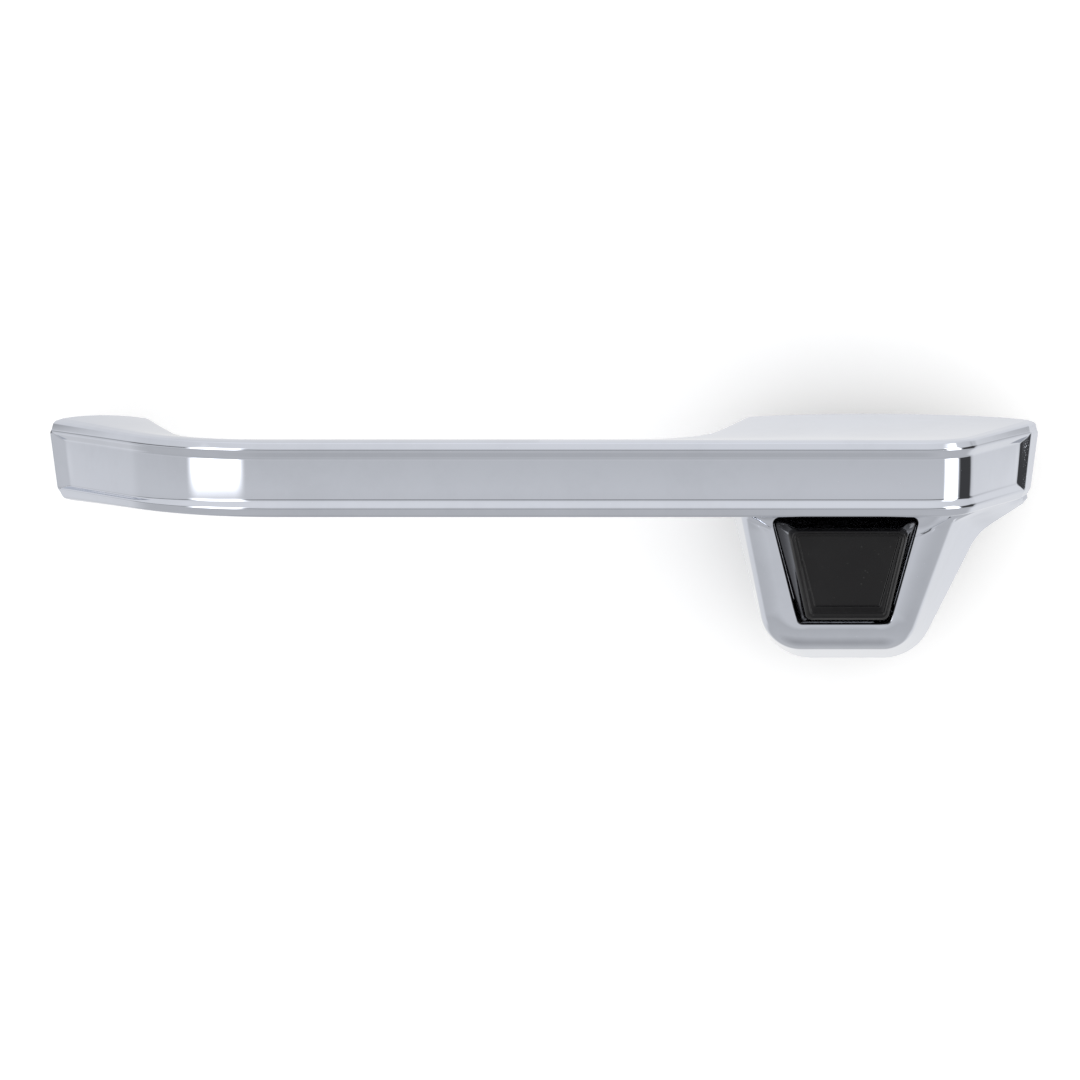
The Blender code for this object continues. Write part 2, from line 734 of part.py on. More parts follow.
def make_adjuster(steel):
    """The screw that meets the latch's lever, and the nut that locks it to the plunger."""
    start = PLUNGER_Y[1] - TAIL_BORE_DEEP + 0.001
    head_start, head_end = ADJUSTER_HEAD_Y
    screw = keep(
        rod("adjuster", ADJUSTER_R, start, head_start + 0.001, 0.0, BUTTON_Z),
        "adjusting_screw", steel,
    )
    head = hex_bar("adjuster_head", 0.0070, head_start, head_end, 0.0, BUTTON_Z)
    cut(screw, keep(head, "adjuster_head_form"), "UNION")
    smooth(screw)
    nut_start = PLUNGER_Y[1] + GAP
    nut = keep(
        hex_bar("nut", 0.0070, nut_start, nut_start + 0.0024, 0.0, BUTTON_Z),
        "adjusting_jam_nut", steel,
    )
    bore = rod("nut_bore", ADJUSTER_R + GAP, nut_start - 0.001, nut_start + 0.004, 0.0, BUTTON_Z)
    cut(nut, keep(bore, "nut_bore_cutter"))


def make_guides(nylon, rubber, steel):
    """The bush in the web, the spring's seat in front of it and the seal behind it."""
    flange_back = WEB_FRONT_Y - GAP
    flange_front = flange_back - 0.0012
    sleeve_end = WEB_BACK_Y + GAP
    profile = (
        (BUSH_BORE, sleeve_end), (BUSH_R, sleeve_end), (BUSH_R, flange_back),
        (0.0072, flange_back), (0.0072, flange_front), (BUSH_BORE, flange_front),
    )
    keep(turned("bush", profile, 0.0, BUTTON_Z), "plunger_guide_bush", nylon)
    seat_y = flange_front - GAP
    keep(
        collar("seat", 0.0039, 0.0076, seat_y - 0.0006, seat_y, 0.0, BUTTON_Z),
        "spring_seat_washer", steel,
    )
    seal_y = sleeve_end + GAP + 0.0008
    bpy.ops.mesh.primitive_torus_add(
        major_radius=0.0046, minor_radius=0.0008, major_segments=32, minor_segments=8,
        location=(0.0, seal_y, BUTTON_Z), rotation=(math.radians(90), 0, 0),
    )
    keep(bpy.context.object, "shaft_seal_ring", rubber)
    keep(
        collar("stop", BUSH_BORE, 0.0068, -0.0050, -0.0042, 0.0, BUTTON_Z),
        "plunger_washer", steel,
    )


clear_scene()
PARTS = new_collection("door_pull_handle")
CUTTERS = new_collection("cutters")
CUTTERS.hide_render = True


def main():
    chrome = make_material("chrome", CHROME, 1.0, 0.06)
    black = make_material("gloss_black", BLACK, 0.0, 0.25)
    rubber = make_material("rubber", RUBBER, 0.0, 0.75)
    nylon = make_material("nylon", NYLON, 0.0, 0.5)
    steel = make_material("steel", STEEL, 1.0, 0.32)
    zinc = make_material("zinc_plate", ZINC, 1.0, 0.38)
    make_casting(chrome)
    make_button(black)
    make_plunger(steel)
    keep(cross_rod("plunger_cross_pin", PIN_R, BUTTON_BOSS - GAP), "plunger_cross_pin", steel)
    make_clip(steel)
    make_spring(steel)
    make_guides(nylon, rubber, zinc)
    make_button_seal(rubber)
    make_adjuster(zinc)
    make_gaskets(rubber)
    for name, x in SCREWS.items():
        make_mounting_set(name, x, zinc)


main()
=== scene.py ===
import math

import bmesh
import bpy
import numpy as np
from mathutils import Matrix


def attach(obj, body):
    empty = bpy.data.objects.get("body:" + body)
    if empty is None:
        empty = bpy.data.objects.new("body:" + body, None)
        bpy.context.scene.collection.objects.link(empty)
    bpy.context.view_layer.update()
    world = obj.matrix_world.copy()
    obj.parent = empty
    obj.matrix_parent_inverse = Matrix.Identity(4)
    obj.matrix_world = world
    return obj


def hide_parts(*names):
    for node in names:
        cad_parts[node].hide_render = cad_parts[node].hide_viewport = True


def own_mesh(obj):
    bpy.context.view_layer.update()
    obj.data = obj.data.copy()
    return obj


# A chromed pull handle for a car door, with a black push button.
# X runs along the bar, Z is up, Y runs into the door. The button's centre line is at x 0.

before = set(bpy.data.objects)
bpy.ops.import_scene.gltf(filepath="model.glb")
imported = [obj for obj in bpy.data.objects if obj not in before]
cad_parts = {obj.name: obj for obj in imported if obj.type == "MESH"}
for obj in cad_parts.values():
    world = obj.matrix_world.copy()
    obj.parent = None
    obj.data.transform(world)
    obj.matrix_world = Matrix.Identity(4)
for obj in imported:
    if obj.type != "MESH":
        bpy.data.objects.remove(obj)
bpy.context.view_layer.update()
tau = 2 * math.pi


def report(note):
    print(f"[door handle] {note}", flush=True)


# meshes from grids of points
def gridShell(rows, startPole=None, endPole=None, closeRows=False):
    # points[row, column]; the columns close on themselves, a pole closes an end with a fan
    count, columns = rows.shape[:2]
    points = rows.reshape(-1, 3)
    index = np.arange(count * columns).reshape(count, columns)
    walk = np.vstack((index, index[:1])) if closeRows else index
    after = np.roll(walk, -1, axis=1)
    quads = np.stack((walk[:-1], after[:-1], after[1:], walk[1:]), axis=-1).reshape(-1, 4)
    fans = []
    for pole, row, turned in ((startPole, index[0], True), (endPole, index[-1], False)):
        if pole is None:
            continue
        points = np.vstack((points, pole))
        tip = np.full(columns, len(points) - 1)
        ahead = np.roll(row, -1)
        fans.append(np.stack((ahead, row, tip) if turned else (row, ahead, tip), axis=-1))
    triangles = np.concatenate(fans) if fans else np.zeros((0, 3), int)
    corners = points[np.vstack((quads[:, [0, 1, 2]], quads[:, [0, 2, 3]], triangles))]
    volume = np.einsum("ij,ij->", corners[:, 0], np.cross(corners[:, 1], corners[:, 2]))
    if volume < 0:  # faces must point outwards
        quads, triangles = quads[:, ::-1], triangles[:, ::-1]
    return points, quads, triangles


def addPiece(name, mesh, finish, body, replaced):
    mesh.materials.append(finish)
    piece = bpy.data.objects.new(name, mesh)
    bpy.context.scene.collection.objects.link(piece)
    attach(piece, body)
    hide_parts(*replaced)
    report(f"{name}: {len(mesh.polygons)} faces")
    return piece


def makePiece(name, shells, finish, body, replaced, sharp=32, merge=0.0):
    points, faces, start = [], [], 0
    for shellPoints, quads, triangles in shells:
        points.append(shellPoints)
        faces += (quads + start).tolist() + (triangles + start).tolist()
        start += len(shellPoints)
    mesh = bpy.data.meshes.new(name)
    mesh.from_pydata(np.concatenate(points).tolist(), [], faces)
    if merge:
        work = bmesh.new()
        work.from_mesh(mesh)
        bmesh.ops.remove_doubles(work, verts=work.verts, dist=merge)
        bmesh.ops.dissolve_degenerate(work, edges=work.edges, dist=merge)
        work.to_mesh(mesh)
        work.free()
    mesh.shade_smooth()
    mesh.set_sharp_from_angle(angle=math.radians(sharp))
    return addPiece(name, mesh, finish, body, replaced)


# shared geometry
middleX = -0.0714  # the bar's middle
buttonZ = -0.0233
padY = -0.0015  # the casting's seat, on its gaskets
frontY = -0.0415
lobeFaceY = -0.0255


def softRamp(value, width):
    # zero before 0, the value itself after, with a parabola of that half-width between
    return np.where(value < -width, 0.0, np.where(value > width, value, (value + width) ** 2 / (4 * width)))


def smoothStep(value):
    part = np.clip(value, 0.0, 1.0)
    return part * part * (3 - 2 * part)


def spread(knots, counts):
    # values between neighbouring knots, so many to each interval
    pieces = [np.linspace(low, high, count, endpoint=False) for low, high, count in zip(knots, knots[1:], counts)]
    return np.concatenate(pieces + [np.array(knots[-1:])])


def ringRows(centre, radius, angle, y):
    # x = centre + radius * cos(angle), z = centre + radius * sin(angle), at depth y
    x, z = centre[0] + radius * np.cos(angle), centre[1] + radius * np.sin(angle)
    return np.stack(np.broadcast_arrays(x, y, z), axis=-1)


def cornerArcs(corners, arcSteps, closed=True):
    # each (x, z, radius) corner becomes an arc that touches both its sides
    arcs = []
    count = len(corners)
    for index, (x, z, radius) in enumerate(corners):
        here = np.array((x, z))
        if not closed and index in (0, count - 1):
            arcs.append(here[None])
            continue
        back = np.array(corners[index - 1][:2]) - here
        ahead = np.array(corners[(index + 1) % count][:2]) - here
        back /= np.linalg.norm(back)
        ahead /= np.linalg.norm(ahead)
        half = 0.5 * math.acos(float(np.clip(back @ ahead, -1.0, 1.0)))
        middle = back + ahead
        centre = here + middle / np.linalg.norm(middle) * radius / math.sin(half)
        start = here + back * radius / math.tan(half) - centre
        end = here + ahead * radius / math.tan(half) - centre
        first = math.atan2(start[1], start[0])
        turn = (math.atan2(end[1], end[0]) - first + math.pi) % tau - math.pi
        angle = first + turn * np.linspace(0, 1, arcSteps + 1)
        arcs.append(centre + radius * np.column_stack((np.cos(angle), np.sin(angle))))
    return arcs


def roundedLoop(corners, arcSteps=8, sideSteps=20):
    # corner arcs joined by straight sides cut into equal steps, so that loops match point for point
    arcs = cornerArcs(corners, arcSteps)
    share = np.linspace(0, 1, sideSteps + 1)[1:-1, None]
    parts = []
    for arc, following in zip(arcs, arcs[1:] + arcs[:1]):
        parts += [arc, arc[-1] * (1 - share) + following[0] * share]
    return np.concatenate(parts)


def trapezoidLoop(shape, corner, grow=0.0):
    top, bottom, high, low = shape
    return roundedLoop((
        (-top - grow, high + grow, corner), (-bottom - grow, low - grow, corner),
        (bottom + grow, low - grow, corner), (top + grow, high + grow, corner),
    ), arcSteps=10, sideSteps=56)


def atY(outline, y):
    # a plan outline (x, z) set at a depth, or at a depth of each point's own
    return np.column_stack((outline[:, 0], np.broadcast_to(y, len(outline)), outline[:, 1]))


# the bar
bar = {
    "tipLeft": -0.1188, "tipRight": 0.1198, "depth": 0.040, "thick": 0.011,
    "halfHeight": 0.0090, "sideDeep": 0.0036, "backDrop": 0.0004, "backRound": 0.0032,
    "crestZ": 0.00682, "crestSoft": 0.26, "crestSlope": 0.576,
    "panelZ": 0.0049, "panelDeep": 0.0012, "panelCrown": 0.00009, "panelSoft": 0.20,
    "panelLower": 0.0011, "dipFrom": middleX - 0.063, "dipTo": middleX - 0.100,
    "frontLeft": (0.048, 48.5), "frontRight": (0.016, 60.0),
    "backLeft": (0.016, 68.0), "backRight": (0.020, 66.0),
    "footLeft": 0.0253, "footRight": 0.0728, "pastPad": 0.006,
    "crestLeft": 0.0006, "endBevel": 0.0030, "crestRight": 0.0054, "tipTurn": 4.0,
    "flareLeft": 0.0025, "flareRight": 0.0029, "flareFrom": 0.008, "flarePower": 1.7,
    "tipTop": -0.0003, "tipBottom": 0.0006, "heelDrop": 0.3, "tipSlant": 0.11,
    "screwLeft": -0.1744, "screwRight": 0.0316, "outerSoft": 0.00058, "holeBottom": -0.0122,
    "boss": (  # radius and depth, from the seat in to the screw's hole
        (0.0062, padY), (0.0053, padY), (0.0053, -0.0002), (0.0051, 0.0), (0.0031, 0.0),
        (0.0028, -0.0003), (0.0028, -0.0110), (0.0012, -0.0118),
    ),
    # places on the back that face the front's places, as distances along it
    "straightMatch": 0.077, "backCrest": (0.0004, 0.0018), "backStraight": (0.010, 0.010),
    "backHeel": (0.002, 0.004), "backTip": (0.0042, 0.0028),
    # heights of the front's rows, above and below the middle: from, to, how many
    "rowsUp": ((0.0003, 0.0040, 8), (0.0042, 0.0053, 10), (0.00552, 0.00615, 4), (0.0063, 0.00745, 14)),
    "rowsDown": ((0.0003, 0.0040, 8), (0.0042, 0.00615, 17), (0.0063, 0.00745, 14)),
}


def planPieces(leftBend, rightBend, drop, startX, endX):
    # straight, arc, straight, arc, straight: the plan of one face from foot to foot
    leftR, leftTurn = leftBend[0], math.radians(leftBend[1])
    rightR, rightTurn = rightBend[0], math.radians(rightBend[1])
    leftRun = (drop - leftR * (1 - math.cos(leftTurn))) / math.sin(leftTurn)
    rightRun = (drop - rightR * (1 - math.cos(rightTurn))) / math.sin(rightTurn)
    used = leftRun * math.cos(leftTurn) + leftR * math.sin(leftTurn)
    used += rightRun * math.cos(rightTurn) + rightR * math.sin(rightTurn)
    return (
        (leftRun, 0.0), (leftR * leftTurn, leftTurn), (endX - startX - used, 0.0),
        (rightR * rightTurn, rightTurn), (rightRun, 0.0),
    )


def followPlan(startX, heading, pieces, distance):
    # position and heading after each distance along the pieces; the end pieces run on
    x, depth, angle = startX, bar["depth"], heading
    found = np.zeros((len(distance), 3))
    begun = 0.0
    for length, turn in pieces:
        here = distance - begun
        if turn:
            radius = length / turn
            now = angle + here / radius
            spot = (
                x + radius * (np.sin(now) - math.sin(angle)),
                depth - radius * (np.cos(now) - math.cos(angle)), now,
            )
            x += radius * (math.sin(angle + turn) - math.sin(angle))
            depth -= radius * (math.cos(angle + turn) - math.cos(angle))
        else:
            spot = (x + here * math.cos(angle), depth + here * math.sin(angle), np.full(len(distance), angle))
            x += length * math.cos(angle)
            depth += length * math.sin(angle)
        reached = here >= 0 if begun else np.full(len(distance), True)
        found = np.where(reached[:, None], np.column_stack(spot), found)
        angle += turn
        begun += length
    return found


def barStations():
    # matching places on the front and the back face, closest where the face bends or ends
    startX, endX = middleX + bar["tipLeft"], middleX + bar["tipRight"]
    bevel = bar["endBevel"]
    front = planPieces(bar["frontLeft"], bar["frontRight"], bar["depth"], startX, endX)
    back = planPieces(
        bar["backLeft"], bar["backRight"], bar["depth"] - bar["thick"],
        startX + bar["footLeft"], endX - bar["footRight"],
    )
    f = np.cumsum([0.0] + [length for length, _ in front])
    b = np.cumsum([0.0] + [length for length, _ in back])
    past, crestL, crestR = bar["pastPad"], bar["crestLeft"], f[5] - bar["crestRight"]
    frontKnots = (
        -past, 0.0, crestL, crestL + bevel, f[1], f[2], f[2] + bar["straightMatch"], f[3], f[4],
        crestR - bevel, crestR, f[5], f[5] + past,
    )
    straight, heelRun, tip = bar["backStraight"], bar["backHeel"], bar["backTip"]
    backKnots = (
        -past, 0.0, *bar["backCrest"], b[1], b[2] + straight[0], b[3] - straight[1],
        b[4] - heelRun[0], b[4] + heelRun[1], b[5] - tip[0], b[5] - tip[1], b[5], b[5] + past,
    )
    counts = (16, 4, 16, 44, 64, 34, 44, 42, 50, 16, 20, 16)
    alongFront, alongBack = spread(frontKnots, counts), spread(backKnots, counts)
    facePlan = followPlan(startX, -math.radians(bar["frontLeft"][1]), front, alongFront)
    rearPlan = followPlan(startX + bar["footLeft"], -math.radians(bar["backLeft"][1]), back, alongBack)
    bend = math.radians(bar["tipTurn"])  # the tip's facet turns back a little more
    pivot = followPlan(startX, -math.radians(bar["frontLeft"][1]), front, np.array([crestR]))[0]
    offset = facePlan[:, :2] - pivot[:2]
    turned = pivot[:2] + np.column_stack((
        offset[:, 0] * math.cos(bend) - offset[:, 1] * math.sin(bend),
        offset[:, 0] * math.sin(bend) + offset[:, 1] * math.cos(bend),
    ))
    beyond = (alongFront > crestR)[:, None]
    facePlan = np.where(beyond, np.column_stack((turned, facePlan[:, 2] + bend)), facePlan)
    edge = np.minimum(alongFront - crestL, crestR - alongFront) / bevel
    return facePlan, rearPlan, edge


def barRows():
    # one closed section at each station: sunk panel, bevel, crest, rounded side, flat, heel, back
    face, rear, edge = barStations()
    inward = np.column_stack((-np.sin(face[:, 2]), np.cos(face[:, 2])))
    outward = np.column_stack((-np.sin(rear[:, 2]), np.cos(rear[:, 2])))
    plan, rearPlan = face[:, :2], rear[:, :2]
    left = face[:, 0] < middleX
    flare = np.where(left, bar["flareLeft"], bar["flareRight"])
    side = np.where(left, -1.0, 1.0)
    crest, half, drop, heelR = bar["crestZ"], bar["halfHeight"], bar["backDrop"], bar["backRound"]
    dipped = smoothStep((bar["dipFrom"] - face[:, 0]) / (bar["dipFrom"] - bar["dipTo"]))
    sideCorners = ((0.0, crest, 0), (0.00095, 0.0087, 0.0010), (0.0026, half, 0.0022), (0.0040, half, 0))
    sidePoints = np.concatenate(cornerArcs(sideCorners, 7, closed=False))[1:-1]

    def place(planPoint, height, across, up):
        share = np.clip((planPoint[:, 1] - bar["flareFrom"]) / (bar["depth"] - bar["flareFrom"]), 0, None)
        amount = share ** bar["flarePower"]
        rise = flare * np.sqrt(1 - (1 - across) ** 2) * (1 - bar["heelDrop"] * across ** 4)
        rise = rise + bar["tipTop"] if up else 0.5 * rise + bar["tipBottom"]
        z = height * (1 + amount * rise / half) * (1 if up else -1)
        x = planPoint[:, 0] + side * bar["tipSlant"] * z * amount * (1 - across)
        return np.column_stack((x, frontY + planPoint[:, 1], z))

    shoulder = plan + inward * bar["sideDeep"]
    heel = rearPlan - outward * heelR
    lead = bar["sideDeep"] / (np.linalg.norm(heel - shoulder, axis=1) + bar["sideDeep"])

    def halfLoop(up):
        bevel = crest - bar["panelZ"] - (0.0 if up else bar["panelLower"] * dipped)
        inner = np.concatenate([np.linspace(*run) for run in bar["rowsUp" if up else "rowsDown"]])
        columns = []
        for z in inner:
            inset = np.minimum((crest - z) / bevel, edge)
            sunk = softRamp(inset, bar["crestSoft"]) - softRamp(inset - 1, bar["panelSoft"])
            crown = 0.0
            if z < bar["panelZ"]:
                crown = bar["panelCrown"] * (1 - (z / bar["panelZ"]) ** 2) * smoothStep(edge - 1)
            outer = bar["crestSlope"] * softRamp(z - crest, bar["outerSoft"])
            depth = bar["panelDeep"] * sunk - crown + outer
            columns.append(place(plan + inward * depth[:, None], z, 0.0, up))
        for depth, z in sidePoints:
            columns.append(place(plan + inward * depth, z, lead * depth / bar["sideDeep"], up))
        for across in np.concatenate(((0.02, 0.05), np.linspace(0.09, 1.0, 16))):
            spot = shoulder + (heel - shoulder) * across
            columns.append(place(spot, half - drop * across, lead + (1 - lead) * across, up))
        low = half - drop - heelR
        for angle in np.linspace(0, math.pi / 2, 11)[1:]:
            columns.append(place(heel + outward * heelR * math.sin(angle), low + heelR * math.cos(angle), 1.0, up))
        columns.append(place(rearPlan, low * 0.5, 1.0, up))
        return columns

    return np.stack(halfLoop(True) + halfLoop(False)[::-1], axis=1)


def cutAtSeat(rows):
    # each column's points past the seat gather where the column crosses it
    for order in (slice(None), slice(None, None, -1)):
        part = rows[order]
        first = np.argmax(part[:, :, 1] <= padY, axis=0)
        column = np.arange(part.shape[1])
        inside, outside = part[first, column], part[first - 1, column]
        share = ((padY - inside[:, 1]) / (outside[:, 1] - inside[:, 1]))[:, None]
        crossing = inside + (outside - inside) * share
        gathered = np.arange(len(part))[:, None] < first[None]
        part[gathered] = np.broadcast_to(crossing, part.shape)[gathered]
    return rows


def bossRows(outline, centreX):
    # from the seat's outline in to the screw's boss, over it and down its hole
    angle = np.arctan2(outline[:, 2], outline[:, 0] - centreX)
    profile = np.array(bar["boss"])
    return ringRows((centreX, 0.0), profile[:, :1], angle, profile[:, 1:])


def barShell():
    rows = cutAtSeat(barRows())
    leftBoss = bossRows(rows[0], bar["screwLeft"])
    rightBoss = bossRows(rows[-1], bar["screwRight"])
    rows = np.concatenate((leftBoss[::-1], rows, rightBoss))
    bottom = bar["holeBottom"]
    return gridShell(rows, (bar["screwLeft"], bottom, 0.0), (bar["screwRight"], bottom, 0.0))


# the lobe that carries the button
lobe = {
    "edge": 0.0050, "wall": 0.0025, "lip": 0.00030, "fillet": 0.0050, "underside": -0.0091,
    "filletFade": (0.0150, 0.0235),
    "atDoor": (
        (0.0490, -0.0050, 0.0005), (0.0462, -0.0125, 0.0040), (0.0557, -0.0491, 0.0130),
        (0.0910, -0.0491, 0.0120), (0.1059, -0.0181, 0.0140), (0.1180, -0.0102, 0.0005),
        (0.1170, -0.0050, 0.0005),
    ),
    "atFace": (
        (0.0400, -0.0050, 0.0005), (0.0468, -0.0092, 0.0055), (0.0532, -0.0421, 0.0090),
        (0.0860, -0.0421, 0.0070), (0.0961, -0.0092, 0.0060), (0.1035, -0.0075, 0.0005),
        (0.1025, -0.0050, 0.0005),
    ),
    "window": (0.01755, 0.01080, -0.0108, -0.0364), "windowCorner": 0.0015,
    "cavity": (0.01950, 0.01300, -0.0100, -0.0388), "pocket": (0.01900, 0.01300, -0.0108, -0.0412),
    "pocketCorner": 0.0040, "webFront": -0.0100, "webBack": -0.0075, "guide": 0.0049,
}


def rayHits(outline, angle):
    # where rays from the button's centre line cross an outline that goes once round it
    offset = outline - np.array((0.0, buttonZ))
    bearing = np.arctan2(offset[:, 1], offset[:, 0])
    order = np.argsort(bearing)
    bearing, offset = bearing[order], offset[order]
    after = np.searchsorted(bearing, angle) % len(bearing)
    here, there = offset[after - 1], offset[after]
    step = there - here
    ray = np.column_stack((np.cos(angle), np.sin(angle)))
    cross = step[:, 0] * ray[:, 1] - step[:, 1] * ray[:, 0]
    share = -(here[:, 0] * ray[:, 1] - here[:, 1] * ray[:, 0]) / cross
    return here + step * share[:, None] + np.array((0.0, buttonZ))


def lobeShell():
    # a closed band: flank, rounded edge, face, window, cavity, web, pocket and back to the seat
    window = trapezoidLoop(lobe["window"], lobe["windowCorner"])
    axis = np.array((0.0, buttonZ))
    angle = np.arctan2(window[:, 1] - buttonZ, window[:, 0])
    door, face = np.array(lobe["atDoor"]), np.array(lobe["atFace"])
    run = padY - lobeFaceY

    def outlineAt(part):
        mixed = door * (1 - part) + face * part
        corners = [(x + middleX, z, radius) for x, z, radius in mixed]
        return rayHits(roundedLoop(corners, 14, 40), angle)

    def bulge(points):
        # the face sweeps forward into the bar's underside on a round fillet
        radius = lobe["fillet"]
        below = np.clip(lobe["underside"] - points[:, 1], 0, radius)
        low, high = lobe["filletFade"]
        swept = radius - np.sqrt(radius ** 2 - (radius - below) ** 2)
        return swept * (1 - smoothStep((points[:, 0] - low) / (high - low)))

    rows = [atY(outlineAt(part), padY - run * part) for part in np.linspace(0, 1 - lobe["edge"] / run, 9)]
    rim = outlineAt(1.0)
    ray = np.column_stack((np.cos(angle), np.sin(angle)))
    tangent = np.roll(rim, -1, axis=0) - np.roll(rim, 1, axis=0)
    tangent /= np.linalg.norm(tangent, axis=1)[:, None]
    facing = np.clip(np.abs(tangent[:, 0] * ray[:, 1] - tangent[:, 1] * ray[:, 0]), 0.6, 1.0)
    for turn in np.linspace(0, math.pi / 2, 17)[1:]:
        inset = lobe["edge"] * (1 - math.cos(turn)) / facing
        behind = lobe["edge"] * (1 - math.sin(turn))
        points = outlineAt(1 - behind / run) - ray * inset[:, None]
        rows.append(atY(points, lobeFaceY + behind - bulge(points) * math.sin(turn) ** 2))
    inner = trapezoidLoop(lobe["window"], lobe["windowCorner"], lobe["lip"])
    faceEdge = points
    for share in np.linspace(0, 1, 22)[1:]:
        points = faceEdge * (1 - share) + inner * share
        rows.append(atY(points, lobeFaceY - bulge(points)))
    for turn in np.linspace(0, math.pi / 2, 5)[1:]:
        points = trapezoidLoop(lobe["window"], lobe["windowCorner"], lobe["lip"] * (1 - math.sin(turn)))
        rows.append(atY(points, lobeFaceY - bulge(inner) + lobe["lip"] * (1 - math.cos(turn))))
    wallY = lobeFaceY + lobe["wall"]
    circle = axis + lobe["guide"] * ray
    cavity = trapezoidLoop(lobe["cavity"], lobe["pocketCorner"])
    pocket = trapezoidLoop(lobe["pocket"], lobe["pocketCorner"])
    for outline, y in (
        (window, wallY - 0.0012), (window, wallY), (cavity, wallY), (cavity, lobe["webFront"]),
        (circle, lobe["webFront"]), (circle, lobe["webBack"]), (pocket, lobe["webBack"]), (pocket, padY + 0.00002),
    ):
        rows.append(atY(outline, y))
    rows[0][:, 1] += 0.00002
    return gridShell(np.stack(rows), closeRows=True)


# wiring for the node materials
def feed(tree, socket, value):
    # a link from another node, or the socket's own number or colour
    if isinstance(value, bpy.types.NodeSocket):
        tree.links.new(value, socket)
    else:
        socket.default_value = (*value, 1.0) if isinstance(value, tuple) else value


def calc(tree, operation, *values):
    node = tree.nodes.new("ShaderNodeMath")
    node.operation = operation
    for socket, value in zip(node.inputs, values):
        feed(tree, socket, value)
    return node.outputs[0]


def ramp(tree, value, low, high, fromValue=0.0, toValue=1.0):
    node = tree.nodes.new("ShaderNodeMapRange")
    node.interpolation_type = "SMOOTHSTEP"
    tree.links.new(value, node.inputs["Value"])
    for label, number in (("From Min", low), ("From Max", high), ("To Min", fromValue), ("To Max", toValue)):
        node.inputs[label].default_value = number
    return node.outputs["Result"]


def noise(tree, place, scale, detail=2.0, roughness=0.5, distortion=0.0):
    node = tree.nodes.new("ShaderNodeTexNoise")
    tree.links.new(place, node.inputs["Vector"])
    for label, value in (("Scale", scale), ("Detail", detail), ("Roughness", roughness), ("Distortion", distortion)):
        feed(tree, node.inputs[label], value)
    return node.outputs["Fac"]


def mixColour(tree, mask, first, second):
    node = tree.nodes.new("ShaderNodeMix")
    node.data_type = "RGBA"
    for index, value in ((0, mask), (6, first), (7, second)):
        feed(tree, node.inputs[index], value)
    return node.outputs[2]


def newGroup(name, numbers, outputs):
    group = bpy.data.node_groups.new(name, "ShaderNodeTree")
    group.interface.new_socket("Place", in_out="INPUT", socket_type="NodeSocketVector")
    for label, value in numbers.items():
        socket = group.interface.new_socket(label, in_out="INPUT", socket_type="NodeSocketFloat")
        socket.default_value = value
    for label in outputs:
        group.interface.new_socket(label, in_out="OUTPUT", socket_type="NodeSocketFloat")
    return group, group.nodes.new("NodeGroupInput"), group.nodes.new("NodeGroupOutput")


def makeHaze():
    # broad soft patches, as left by a wiping cloth: 0 clean, 1 dull
    group, given, made = newGroup("wiping haze", {"Scale": 60.0}, ("Haze", "Height"))
    broad = noise(group, given.outputs["Place"], given.outputs["Scale"], 3.0, 0.55, 0.4)
    fine = noise(group, given.outputs["Place"], calc(group, "MULTIPLY", given.outputs["Scale"], 9.0), 4.0, 0.6)
    both = calc(group, "ADD", calc(group, "MULTIPLY", broad, 0.75), calc(group, "MULTIPLY", fine, 0.25))
    group.links.new(ramp(group, both, 0.42, 0.68), made.inputs["Haze"])
    group.links.new(broad, made.inputs["Height"])
    return group


def makeSpecks():
    # sparse round specks: dust or pits, 1 in the middle of each
    group, given, made = newGroup("specks", {"Scale": 900.0, "Share": 0.1}, ("Speck",))
    cell = group.nodes.new("ShaderNodeTexVoronoi")
    group.links.new(given.outputs["Place"], cell.inputs["Vector"])
    group.links.new(given.outputs["Scale"], cell.inputs["Scale"])
    dot = ramp(group, cell.outputs["Distance"], 0.34, 0.12)
    drawn = noise(group, given.outputs["Place"], calc(group, "MULTIPLY", given.outputs["Scale"], 0.7), 0.0)
    limit = calc(group, "ADD", 0.3, calc(group, "MULTIPLY", given.outputs["Share"], 0.4))
    chosen = calc(group, "LESS_THAN", drawn, limit)
    group.links.new(calc(group, "MULTIPLY", dot, chosen), made.inputs["Speck"])
    return group


def makeGrain():
    # fine even grain of a moulded or plated face
    group, given, made = newGroup("fine grain", {"Scale": 2500.0}, ("Grain", "Patch"))
    group.links.new(noise(group, given.outputs["Place"], given.outputs["Scale"], 3.0, 0.65), made.inputs["Grain"])
    patch = noise(group, given.outputs["Place"], calc(group, "MULTIPLY", given.outputs["Scale"], 0.06), 2.0)
    group.links.new(patch, made.inputs["Patch"])
    return group


haze, specks, grain = makeHaze(), makeSpecks(), makeGrain()


def useGroup(tree, group, place, **values):
    node = tree.nodes.new("ShaderNodeGroup")
    node.node_tree = group
    tree.links.new(place, node.inputs["Place"])
    for label, value in values.items():
        node.inputs[label].default_value = value
    return node.outputs


def newFinish(name):
    made = bpy.data.materials.new(name)
    made.use_nodes = True
    tree = made.node_tree
    place = tree.nodes.new("ShaderNodeTexCoord").outputs["Object"]
    return made, tree, place, tree.nodes["Principled BSDF"]


def setShader(tree, shader, **values):
    for label, value in values.items():
        feed(tree, shader.inputs[label.replace("_", " ")], value)


def bump(tree, shader, height, depth, strength=1.0):
    node = tree.nodes.new("ShaderNodeBump")
    node.inputs["Strength"].default_value = strength
    node.inputs["Distance"].default_value = depth
    tree.links.new(height, node.inputs["Height"])
    tree.links.new(node.outputs["Normal"], shader.inputs["Normal"])


